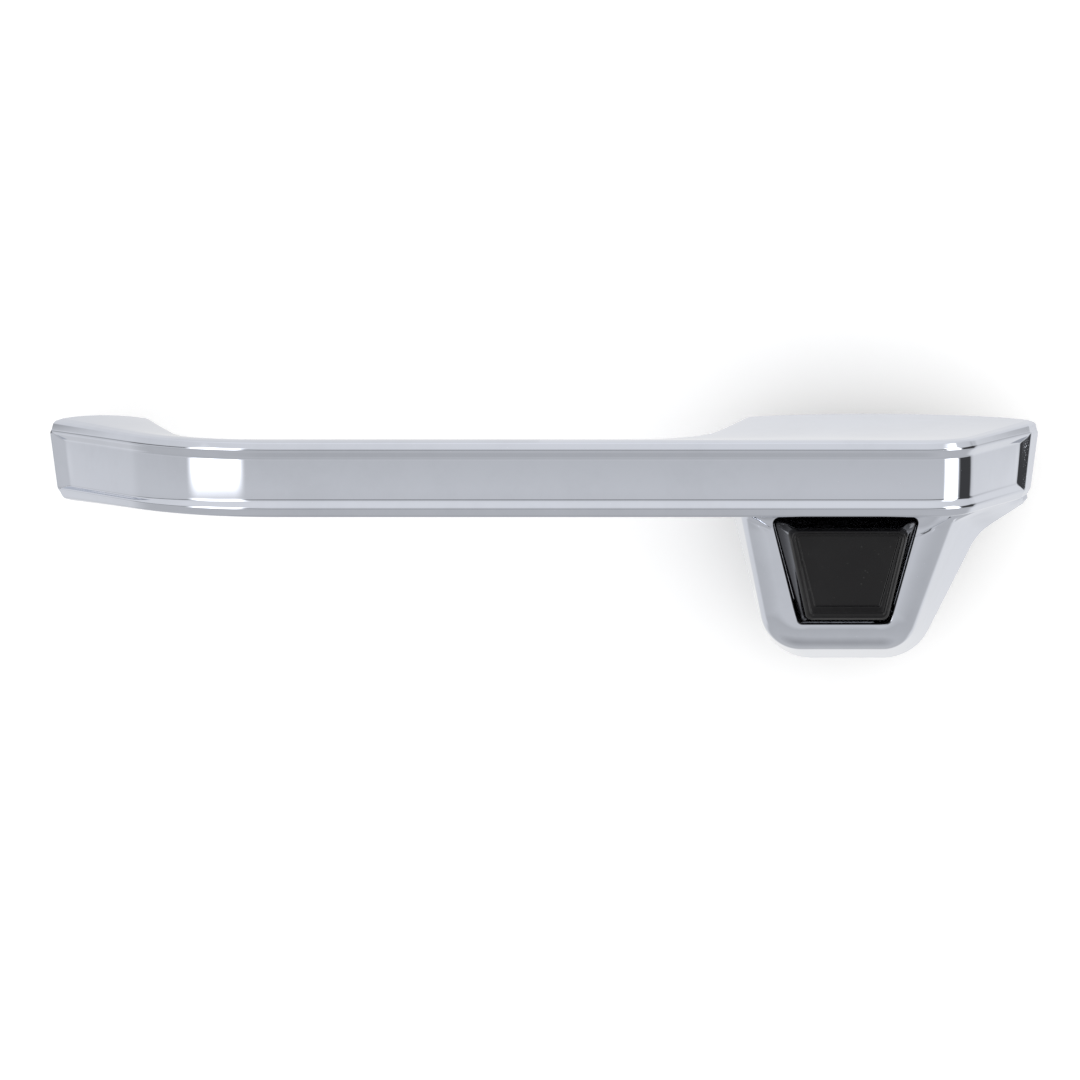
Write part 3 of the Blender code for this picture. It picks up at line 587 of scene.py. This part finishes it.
def chromeFinish():
    values = {"clean": (0.700, 0.728, 0.800), "dull": (0.640, 0.665, 0.730), "roughness": 0.030, "pitFrom": 0.0440}
    made, tree, place, shader = newFinish("bright chrome")
    wiped = useGroup(tree, haze, place, Scale=38.0)
    dust = useGroup(tree, specks, place, Scale=700.0, Share=0.05)["Speck"]
    pits = useGroup(tree, specks, place, Scale=1900.0, Share=0.75)["Speck"]
    split = tree.nodes.new("ShaderNodeSeparateXYZ")
    tree.links.new(place, split.inputs[0])
    pitted = calc(tree, "MULTIPLY", pits, ramp(tree, split.outputs[0], values["pitFrom"], values["pitFrom"] + 0.001))
    rough = calc(tree, "ADD", values["roughness"], calc(tree, "MULTIPLY", wiped["Haze"], 0.018))
    marked = calc(tree, "MAXIMUM", calc(tree, "MULTIPLY", dust, 0.5), pitted)
    rough = calc(tree, "ADD", rough, calc(tree, "MULTIPLY", marked, 0.12))
    setShader(
        tree, shader, Metallic=1.0, Roughness=rough,
        Base_Color=mixColour(tree, calc(tree, "MULTIPLY", wiped["Haze"], 0.5), values["clean"], values["dull"]),
    )
    wave = noise(tree, place, 55.0, 1.0)
    height = calc(tree, "SUBTRACT", wave, calc(tree, "MULTIPLY", pitted, 0.35))
    bump(tree, shader, height, 0.000018)
    return made


def buttonFinish():
    # satin face, polished sides and rim
    values = {
        "black": (0.0048, 0.0045, 0.0054), "worn": (0.010, 0.010, 0.011), "dusty": (0.05, 0.05, 0.05),
        "faceY": (-0.0333, -0.0326), "satin": 0.30, "gloss": 0.05,
    }
    made, tree, place, shader = newFinish("button black")
    wiped = useGroup(tree, haze, place, Scale=90.0)["Haze"]
    grained = useGroup(tree, grain, place, Scale=4200.0)
    dust = useGroup(tree, specks, place, Scale=1100.0, Share=0.06)["Speck"]
    split = tree.nodes.new("ShaderNodeSeparateXYZ")
    tree.links.new(place, split.inputs[0])
    side = ramp(tree, split.outputs[1], *values["faceY"])
    rough = calc(tree, "ADD", calc(tree, "MULTIPLY", side, values["gloss"] - values["satin"]), values["satin"])
    rough = calc(tree, "ADD", rough, calc(tree, "MULTIPLY", wiped, 0.05))
    colour = mixColour(tree, calc(tree, "MULTIPLY", wiped, 0.5), values["black"], values["worn"])
    colour = mixColour(tree, calc(tree, "MULTIPLY", dust, 0.35), colour, values["dusty"])
    setShader(tree, shader, Roughness=rough, Base_Color=colour)
    shader.inputs["Specular IOR Level"].default_value = 0.32
    bump(tree, shader, grained["Grain"], 0.000006, 0.5)
    return made


def metalFinish(name, colour, tint, roughness, graining, depth, patchShare=0.6):
    made, tree, place, shader = newFinish(name)
    grained = useGroup(tree, grain, place, Scale=graining)
    dust = useGroup(tree, specks, place, Scale=1300.0, Share=0.12)["Speck"]
    mottle = ramp(tree, grained["Patch"], 0.35, 0.68)
    rough = calc(tree, "ADD", roughness, calc(tree, "MULTIPLY", mottle, 0.12))
    setShader(
        tree, shader, Metallic=1.0, Roughness=calc(tree, "ADD", rough, calc(tree, "MULTIPLY", dust, 0.2)),
        Base_Color=mixColour(tree, calc(tree, "MULTIPLY", mottle, patchShare), colour, tint),
    )
    bump(tree, shader, grained["Grain"], depth)
    return made


def softFinish(name, colour, dusty, roughness, graining, depth):
    made, tree, place, shader = newFinish(name)
    grained = useGroup(tree, grain, place, Scale=graining)
    wiped = useGroup(tree, haze, place, Scale=120.0)["Haze"]
    specked = useGroup(tree, specks, place, Scale=900.0, Share=0.15)["Speck"]
    mask = calc(tree, "MAXIMUM", calc(tree, "MULTIPLY", wiped, 0.55), calc(tree, "MULTIPLY", specked, 0.8))
    setShader(
        tree, shader, Roughness=calc(tree, "ADD", roughness, calc(tree, "MULTIPLY", wiped, 0.1)),
        Base_Color=mixColour(tree, mask, colour, dusty),
    )
    shader.inputs["Specular IOR Level"].default_value = 0.35
    bump(tree, shader, grained["Grain"], depth)
    return made


chrome = chromeFinish()
black = buttonFinish()
steel = metalFinish("turned steel", (0.50, 0.51, 0.53), (0.36, 0.36, 0.37), 0.24, 3200.0, 0.000012)
zinc = metalFinish("zinc plate", (0.62, 0.62, 0.60), (0.50, 0.47, 0.36), 0.30, 1800.0, 0.000020, 0.8)
rubber = softFinish("black rubber", (0.014, 0.014, 0.015), (0.055, 0.053, 0.050), 0.62, 2600.0, 0.000030)
nylon = softFinish("natural nylon", (0.60, 0.58, 0.52), (0.48, 0.45, 0.38), 0.42, 2200.0, 0.000008)
report("finishes made")


# the button
button = {
    "play": 0.00045, "out": 0.0085,
    "rim": (0.01365, 0.00890, -0.0131, -0.0335), "rimCorner": 0.0016,
    "step": (0.01265, 0.00840, -0.0137, -0.0324),
    "panel": (0.01195, 0.00760, -0.0142, -0.0310), "panelCorner": 0.0006,
    "wall": 0.0020, "skirt": 0.0055, "boss": 0.0053, "bore": 0.0038, "bossEnd": -0.0235, "boreEnd": -0.0303,
    "sunk": 0.0011, "dish": 0.00012, "shoulder": 0.0008, "sideBow": 0.00035, "soft": 0.0003,
}


def buttonShell():
    # from the middle of the sunk face out over two steps and the rim, down the sides and up inside
    front = lobeFaceY - button["out"]
    sunkY, shoulderY, soft = front + button["sunk"], front + button["shoulder"], button["soft"]
    rim, step, panel = button["rim"], button["step"], button["panel"]
    fine, rimR = button["panelCorner"], button["rimCorner"]
    base = trapezoidLoop(lobe["window"], lobe["windowCorner"] - button["play"], -button["play"])
    shoulder = trapezoidLoop(rim, rimR, 0.0006)
    axis = np.array((0.0, buttonZ))
    floor = trapezoidLoop(panel, fine, -0.0002)
    middle = floor.mean(axis=0)
    rows = [
        atY(middle + (floor - middle) * share, sunkY + button["dish"] * share ** 2)
        for share in (0.08, 0.3, 0.55, 0.8, 0.95)
    ]
    for shape, corner, grow, back in (
        (panel, fine, -0.00020, 0.00122), (panel, fine, -0.00008, 0.00118), (panel, fine, 0.0, 0.00105),
        (panel, fine, 0.00002, 0.00084), (panel, fine, 0.00008, 0.00074), (panel, fine, 0.00020, 0.00070),
        (step, fine, -0.00022, 0.00066), (step, fine, -0.00006, 0.00062), (step, fine, 0.0, 0.00050),
        (step, fine, 0.00003, 0.00030), (step, fine, 0.00010, 0.00020), (step, fine, 0.00022, 0.00014),
        (rim, rimR, -0.00034, 0.00006), (rim, rimR, -0.00020, 0.00000), (rim, rimR, -0.00006, 0.00003),
        (rim, rimR, 0.00008, 0.00012), (rim, rimR, 0.00018, 0.00026), (rim, rimR, 0.00027, 0.00044),
    ):
        rows.append(atY(trapezoidLoop(shape, corner, grow), front + back))
    for share in np.linspace(0, 1, 11):
        bow = button["sideBow"] * math.sin(math.pi * share)  # the sides are drawn in a little
        mixed = shoulder * (1 - share) + base * share
        mixed = mixed + (mixed - axis) * (-bow / 0.015)
        rows.append(atY(mixed, shoulderY + (lobeFaceY - shoulderY) * share))
    skirtEnd = lobeFaceY + button["skirt"]
    inside = trapezoidLoop(lobe["window"], 0.0010, -button["wall"])
    top = shoulderY + button["wall"]
    inTop = trapezoidLoop(rim, 0.0010, -button["wall"])
    boss, bore, bossEnd = button["boss"], button["bore"], button["bossEnd"]
    angle = np.arctan2(inTop[:, 1] - buttonZ, inTop[:, 0])
    ray = np.column_stack((np.cos(angle), np.sin(angle)))
    for outline, y in (
        (base, skirtEnd - soft), (base * 0.992 + axis * 0.008, skirtEnd), (inside + (inside - axis) * 0.01, skirtEnd),
        (inside, skirtEnd - soft), (inside, lobeFaceY), (inTop, top), (inTop - (inTop - axis) * 0.03, top - 0.0002),
        (axis + ray * (boss + soft), top - 0.0002), (axis + ray * boss, top), (axis + ray * boss, bossEnd - soft),
        (axis + ray * (boss - soft), bossEnd), (axis + ray * (bore + soft), bossEnd),
        (axis + ray * bore, bossEnd - soft), (axis + ray * bore, button["boreEnd"]),
    ):
        rows.append(atY(outline, y))
    return gridShell(np.stack(rows), (middle[0], sunkY, middle[1]), (0.0, button["boreEnd"], buttonZ))


# turned, threaded and coiled pieces, all along Y
def turnedShell(profile, centre, soft=0.0001, segments=72):
    # a (radius, y) outline carried once round the centre; it closes on itself unless it touches the axis
    solid = profile[0][0] == 0
    arcs = cornerArcs([(radius, y, soft) for radius, y in profile], 3, closed=not solid)
    outline = np.concatenate(arcs)
    angle = tau * np.arange(segments) / segments
    if solid:
        poles = [(centre[0], y, centre[1]) for y in (outline[0, 1], outline[-1, 1])]
        outline = outline[1:-1]
    rows = ringRows(centre, outline[:, :1], angle, outline[:, 1:])
    return gridShell(rows, *poles) if solid else gridShell(rows, closeRows=True)


def threadShell(centre, radius, pitch, tipY, headY, plainLength):
    # r(angle, y): the radius less a triangular groove that climbs one pitch each turn
    segments = 48
    angle = tau * np.arange(segments) / segments
    y = np.linspace(tipY, headY, int((headY - tipY) / pitch * 12))[:, None]
    phase = (y / pitch - angle / tau) % 1.0
    groove = np.clip(1.35 * (1 - np.abs(2 * phase - 1)) - 0.10, 0, 1)
    taper = smoothStep((y - tipY) / (0.9 * pitch))
    runOut = 1 - smoothStep((y - (headY - plainLength)) / pitch)
    size = radius - 0.54 * pitch * groove * taper * runOut - 0.30 * pitch * (1 - taper)
    ends = ((centre[0], end, centre[1]) for end in (tipY, headY))
    return gridShell(ringRows(centre, size, angle, y), *ends)


def hexShell(centre, across, fromY, toY, bore=0.0, bothSides=False):
    # a hexagon whose corners are turned down by a 30 degree cone
    segments = 96
    angle = tau * np.arange(segments) / segments
    corner = across / 2 / np.cos((angle + math.pi / 6) % (math.pi / 3) - math.pi / 6)
    corner = np.minimum(corner, across / 2 * 1.135)
    flat = across / 2 * 0.95

    def ringRow(radius, y):
        return ringRows(centre, radius, angle, y)

    fall = np.maximum(corner - flat, 0) * math.tan(math.radians(30))
    inner = bore if bore else across * 0.06
    shares = np.linspace(0, 1, 4)
    rows = [ringRow(inner + (flat - inner) * share, toY) for share in shares]
    rows += [ringRow(flat + (corner - flat) * share, toY - fall * share) for share in (0.35, 0.7, 1.0)]
    bottomFall = fall if bothSides else 0 * fall
    rows += [ringRow(corner, toY - fall - 0.0001), ringRow(corner, fromY + bottomFall + 0.0001)]
    rows += [ringRow(flat + (corner - flat) * share, fromY + bottomFall * share) for share in (1.0, 0.5, 0.0)]
    rows += [ringRow(inner, fromY)]
    if bore:
        return gridShell(np.stack(rows), closeRows=True)
    return gridShell(np.stack(rows), (centre[0], toY, centre[1]), (centre[0], fromY, centre[1]))


def bandShell(centre, inner, outer, fromY, toY, startAngle, endAngle, lift=0.0, soft=0.0001, steps=90):
    # an open ring: a rounded box section carried from one angle to the other, rising by lift
    share = np.linspace(0, 1, steps)[:, None]
    angle = startAngle + (endAngle - startAngle) * share
    half, middle = (toY - fromY) / 2, (toY + fromY) / 2
    section = roundedLoop(((0.0, -half, soft), (1.0, -half, soft), (1.0, half, soft), (0.0, half, soft)), 2, 3)
    section[:, 0] = np.clip(section[:, 0], 0, 1)
    insideR = np.reshape(inner(angle), (-1, 1)) if callable(inner) else inner
    radius = insideR + (outer - insideR) * section[:, 0][None]
    y = middle + section[:, 1][None] + lift * (share - 0.5)
    rows = ringRows(centre, radius, angle, y)
    return gridShell(rows, rows[0].mean(axis=0), rows[-1].mean(axis=0))


hardware = {
    "axis": (0.0, buttonZ), "springTurns": 6, "springRadius": 0.0065, "wire": 0.0006, "springY": (-0.0309, -0.0127),
    "screwHeadY": 0.0038, "screwHeadHigh": 0.0035, "screwTipY": -0.0100, "threadPitch": 0.0008, "fineThread": 0.0007,
    "pinY": -0.0255, "pinHalf": 0.0050, "pinRadius": 0.00125, "clipBore": 0.00310, "clipScallop": 0.0011,
    "sealRadius": 0.0046, "sealWire": 0.0008, "sealY": -0.0061,
}


def springShell():
    # a wire of round section along a helix whose pitch closes up at both ends
    share = np.linspace(0, 1, hardware["springTurns"] * 44)
    pitch = 0.42 + 0.58 * smoothStep(np.minimum(share, 1 - share) / 0.16)
    climb = np.concatenate(([0.0], np.cumsum((pitch[1:] + pitch[:-1]) / 2)))
    low, high = hardware["springY"]
    wire = hardware["wire"]
    y = low + wire + (high - low - 2 * wire) * climb / climb[-1]
    angle = tau * hardware["springTurns"] * share
    around = tau * np.arange(14) / 14
    radius = hardware["springRadius"] + wire * np.cos(around)[None]
    rows = ringRows(hardware["axis"], radius, angle[:, None], y[:, None] + wire * np.sin(around)[None])
    return gridShell(rows, rows[0].mean(axis=0), rows[-1].mean(axis=0))


def pinShell():
    # a short pin across the button's boss, with rounded ends
    arcs = np.linspace(0, math.pi / 2, 5)
    half, radius, soft, y = hardware["pinHalf"], hardware["pinRadius"], 0.0003, hardware["pinY"]
    x = np.concatenate((-half + soft - soft * np.cos(arcs), half - soft + soft * np.sin(arcs)))
    size = np.concatenate((radius - soft + soft * np.sin(arcs), radius - soft + soft * np.cos(arcs)))
    angle = tau * np.arange(28) / 28
    around, up = y + size[:, None] * np.cos(angle), buttonZ + size[:, None] * np.sin(angle)
    rows = np.stack((x[:, None] + 0 * angle, around, up), axis=-1)
    return gridShell(rows, (-half, y, buttonZ), (half, y, buttonZ))


def clipBore(angle):
    # three shallow scallops, so that the clip grips the groove on its tongues
    scallop = smoothStep((np.cos(3 * (angle - math.radians(90))) * -1 - 0.1) / 0.8)
    return hardware["clipBore"] + hardware["clipScallop"] * scallop


makePiece(
    "casting_chrome", [barShell(), lobeShell()], chrome, "handle", ["handle_casting"], sharp=34, merge=2e-7,
)
makePiece("push_button_cap", [buttonShell()], black, "button", ["push_button"], sharp=50)

axis = hardware["axis"]
plungerProfile = (
    (0.0, 0.0030), (0.0023, 0.0030), (0.0023, 0.0100), (0.0032, 0.0100), (0.0035, 0.0097), (0.0035, -0.0027),
    (0.0028, -0.0027), (0.0028, -0.0041), (0.0035, -0.0041), (0.0035, -0.0296), (0.0031, -0.0300), (0.0, -0.0300),
)
makePiece("plunger_rod", [turnedShell(plungerProfile, axis, 0.00008)], steel, "button", ["button_plunger"])
makePiece("plunger_pin", [pinShell()], steel, "button", ["plunger_cross_pin"])
makePiece(
    "plunger_clip", [bandShell(axis, clipBore, 0.0062, -0.0038, -0.0030, math.radians(-64), math.radians(244))],
    steel, "button", ["retaining_clip"],
)
spring = makePiece("return_spring", [springShell()], steel, "handle", ["button_return_spring"])
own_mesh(spring)

for name, body, profile, finish, slotName, node in (
    ("plunger_stop_washer", "button", (
        (0.0038, -0.0042), (0.0068, -0.0042), (0.0068, -0.0050), (0.0038, -0.0050),
    ), steel, "steel", "plunger_washer"),
    ("spring_seat", "handle", (
        (0.0039, -0.0118), (0.0076, -0.0118), (0.0076, -0.0124), (0.0039, -0.0124),
    ), zinc, "zinc_plate", "spring_seat_washer"),
    ("guide_bush", "handle", (
        (0.0038, -0.0072), (0.0046, -0.0072), (0.0046, -0.0103), (0.0072, -0.0103),
        (0.0072, -0.0115), (0.0038, -0.0115),
    ), nylon, "nylon", "plunger_guide_bush"),
):
    makePiece(name, [turnedShell(profile, axis)], finish, body, [node])


def sealShell():
    # a torus: its section's circle carried round the plunger
    angle, around = tau * np.arange(72) / 72, tau * np.arange(20) / 20
    radius = hardware["sealRadius"] + hardware["sealWire"] * np.cos(around)[:, None]
    y = hardware["sealY"] + hardware["sealWire"] * np.sin(around)[:, None]
    return gridShell(ringRows(hardware["axis"], radius, angle, y), closeRows=True)


makePiece("plunger_seal", [sealShell()], rubber, "handle", ["shaft_seal_ring"])
shells = [
    threadShell(axis, 0.0020, hardware["fineThread"], 0.0020, 0.0160, 0.0004),
    hexShell(axis, 0.0070, 0.0155, 0.0190),
]
makePiece("adjuster_screw", shells, zinc, "button", ["adjusting_screw"])
nut = hexShell(axis, 0.0070, 0.0103, 0.0127, 0.0023, True)
makePiece("adjuster_nut", [nut], zinc, "button", ["adjusting_jam_nut"])

for end, x in (("front", bar["screwLeft"]), ("button_end", bar["screwRight"])):
    spot = (x, 0.0)
    headY = hardware["screwHeadY"]
    shells = [
        threadShell(spot, 0.0025, hardware["threadPitch"], hardware["screwTipY"], headY + 0.0005, 0.0030),
        hexShell(spot, 0.0080, headY, headY + hardware["screwHeadHigh"]),
    ]
    makePiece(f"{end}_screw", shells, zinc, "handle", [f"{end}_mounting_screw"])
    flat = turnedShell(((0.0028, 0.0020), (0.0050, 0.0020), (0.0050, 0.0010), (0.0028, 0.0010)), spot, 0.00015)
    makePiece(f"{end}_plain_washer", [flat], zinc, "handle", [f"{end}_flat_washer"])
    lock = bandShell(spot, 0.0028, 0.0045, 0.0024, 0.0034, math.radians(97), math.radians(443), 0.0002)
    makePiece(f"{end}_split_washer", [lock], zinc, "handle", [f"{end}_lock_washer"])


gasket = {
    "frontKeep": 0.0066, "frontDrawn": 0.0011,  # all outside this radius comes in by this much
    "topFrom": 0.0068, "topDrawn": 0.0007,  # all above this height comes down by this much
    "bevel": 0.00015, "bevelFrom": 1.2,
}


def copyGasket(node, name, movement):
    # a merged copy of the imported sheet, its edge brought in a little so that it stays behind the casting
    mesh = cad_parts[node].data.copy()
    mesh.name = name
    mesh.materials.clear()
    work = bmesh.new()
    work.from_mesh(mesh)
    bmesh.ops.remove_doubles(work, verts=work.verts, dist=1e-6)
    points = np.array([corner.co for corner in work.verts])
    points[:, [0, 2]] -= movement(points)
    for corner, place in zip(work.verts, points):
        corner.co = place
    rim = [e for e in work.edges if e.is_manifold and e.calc_face_angle(0) > gasket["bevelFrom"]]
    bmesh.ops.bevel(work, geom=rim, offset=gasket["bevel"], segments=2, affect="EDGES", clamp_overlap=True)
    work.to_mesh(mesh)
    work.free()
    addPiece(name, mesh, rubber, "handle", [node])


def frontMove(points):
    offset = points[:, [0, 2]] - np.array((bar["screwLeft"], 0.0))
    distance = np.linalg.norm(offset, axis=1)[:, None]
    return np.where(distance > gasket["frontKeep"], gasket["frontDrawn"], 0.0) * (offset / distance)


def topMove(points):
    return np.where(points[:, 2:] > gasket["topFrom"], gasket["topDrawn"], 0.0) * np.array((0, 1))


copyGasket("front_gasket", "front_pad_gasket", frontMove)
copyGasket("button_end_gasket", "button_pad_gasket", topMove)
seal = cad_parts["button_seal"]
seal.data.materials.clear()
seal.data.materials.append(rubber)

# camera
camera = {"reach": 0.7376, "climb": 7.5, "pitch": 81.431, "lens": 106.67, "shiftX": -0.0007}
lookFrom = bpy.data.objects.new("camera", bpy.data.cameras.new("camera"))
lookFrom.data.lens = camera["lens"]
climb = math.radians(camera["climb"])
lookFrom.location = (
    middleX + camera["shiftX"], frontY - camera["reach"] * math.cos(climb), camera["reach"] * math.sin(climb),
)
lookFrom.rotation_euler = (math.radians(camera["pitch"]), 0, 0)
bpy.context.scene.collection.objects.link(lookFrom)
bpy.context.scene.camera = lookFrom

# surroundings
# bearing is to the right of the camera, height above level, both in degrees
room = {
    "matt": 1.0, "camera": 1.1,
    # height in degrees and brightness: floor, a dark gap over the horizon, pale ceiling
    "heights": (
        (-90, 0.42), (-60, 0.60), (-25, 0.56), (-10, 0.70), (-1, 0.62), (4, 0.16), (12, 0.16), (20, 0.74), (90, 1.04),
    ),
    "boxes": (
        # bearing from, to, softness; height from, to, softness; brightness
        (-230, -105, 10, -35, 90, 6, 0.83),  # pale wall behind, left and right
        (125, 230, 10, -35, 90, 6, 0.88),
        (-56, -26, 4, -9, 38, 4, 3.0),  # two soft boxes
        (51, 78, 4, -15, 38, 4, 3.0),
        (82, 116, 4, -15, 20, 4, 0.06),  # a dark flag beside the right one
    ),
}


def makeWorld():
    # reflections see the room above, matt surfaces an even white, the camera a white wall
    world = bpy.data.worlds.new("studio")
    bpy.context.scene.world = world
    world.use_nodes = True
    tree = world.node_tree
    tree.nodes.clear()
    split = tree.nodes.new("ShaderNodeSeparateXYZ")
    tree.links.new(tree.nodes.new("ShaderNodeTexCoord").outputs["Generated"], split.inputs[0])
    x, y, z = split.outputs
    bearing = calc(tree, "MULTIPLY", calc(tree, "ARCTAN2", x, calc(tree, "MULTIPLY", y, -1.0)), 180 / math.pi)
    height = calc(tree, "MULTIPLY", calc(tree, "ARCSINE", z), 180 / math.pi)
    curve = tree.nodes.new("ShaderNodeValToRGB")
    stops = curve.color_ramp.elements
    while len(stops) < len(room["heights"]):
        stops.new(0.5)
    for stop, (degrees, bright) in zip(stops, room["heights"]):
        stop.position = (degrees + 90) / 180
        stop.color = (bright, bright, bright, 1)
    tree.links.new(calc(tree, "DIVIDE", calc(tree, "ADD", height, 90.0), 180.0), curve.inputs[0])
    value = curve.outputs[0]

    def between(low, high, soft, what):
        begins, ends = ramp(tree, what, low - soft, low + soft), ramp(tree, what, high + soft, high - soft)
        return calc(tree, "MULTIPLY", begins, ends)

    def put(mask, bright, under):
        rest = calc(tree, "MULTIPLY", calc(tree, "SUBTRACT", 1.0, mask), under)
        return calc(tree, "ADD", calc(tree, "MULTIPLY", mask, bright), rest)

    for fromB, toB, softB, fromH, toH, softH, bright in room["boxes"]:
        mask = calc(tree, "MULTIPLY", between(fromB, toB, softB, bearing), between(fromH, toH, softH, height))
        value = put(mask, bright, value)

    def glow(colour, strength):
        node = tree.nodes.new("ShaderNodeBackground")
        feed(tree, node.inputs["Color"], colour)
        node.inputs["Strength"].default_value = strength
        return node.outputs[0]

    path = tree.nodes.new("ShaderNodeLightPath")
    last = glow(value, 1.0)
    for flag, strength in (("Is Diffuse Ray", room["matt"]), ("Is Camera Ray", room["camera"])):
        mix = tree.nodes.new("ShaderNodeMixShader")
        tree.links.new(path.outputs[flag], mix.inputs["Fac"])
        tree.links.new(last, mix.inputs[1])
        tree.links.new(glow((1.0, 1.0, 1.0), strength), mix.inputs[2])
        last = mix.outputs[0]
    tree.links.new(last, tree.nodes.new("ShaderNodeOutputWorld").inputs["Surface"])
    world.cycles.sampling_method = "NONE"


stage = {"wallY": 0.0206, "floorZ": -0.175, "cove": 0.10, "reach": 1.6, "wide": 2.2, "gain": 1.22}


def makeStage():
    # a pale floor that turns up into a wall; the wall isn't seen from behind and doesn't light the part
    angle = np.linspace(0, math.pi / 2, 24)
    cove, wallY, floorZ = stage["cove"], stage["wallY"], stage["floorZ"]
    y = np.concatenate(([wallY - stage["reach"]], wallY - cove + cove * np.sin(angle), [wallY]))
    z = np.concatenate(([floorZ], floorZ + cove - cove * np.cos(angle), [floorZ + stage["reach"]]))
    left = np.column_stack((np.full(len(y), middleX - stage["wide"]), y, z))
    right = left + np.array((2 * stage["wide"], 0, 0))
    mesh = bpy.data.meshes.new("backdrop")
    count = len(y)
    faces = [(k, k + count, k + count + 1, k + 1) for k in range(count - 1)]
    mesh.from_pydata(np.concatenate((left, right)).tolist(), [], faces)
    mesh.shade_smooth()
    wall = bpy.data.objects.new("backdrop", mesh)
    bpy.context.scene.collection.objects.link(wall)
    made = bpy.data.materials.new("pale backdrop")
    made.use_nodes = True
    tree = made.node_tree
    tree.nodes.clear()
    matt, clear = tree.nodes.new("ShaderNodeBsdfDiffuse"), tree.nodes.new("ShaderNodeBsdfTransparent")
    matt.inputs["Color"].default_value = (stage["gain"],) * 3 + (1,)
    mix = tree.nodes.new("ShaderNodeMixShader")
    tree.links.new(tree.nodes.new("ShaderNodeNewGeometry").outputs["Backfacing"], mix.inputs["Fac"])
    tree.links.new(matt.outputs[0], mix.inputs[1])
    tree.links.new(clear.outputs[0], mix.inputs[2])
    tree.links.new(mix.outputs[0], tree.nodes.new("ShaderNodeOutputMaterial").inputs["Surface"])
    mesh.materials.append(made)
    wall.visible_diffuse = wall.visible_glossy = wall.visible_shadow = False


makeWorld()
makeStage()
bpy.context.scene.view_settings.view_transform = "Standard"
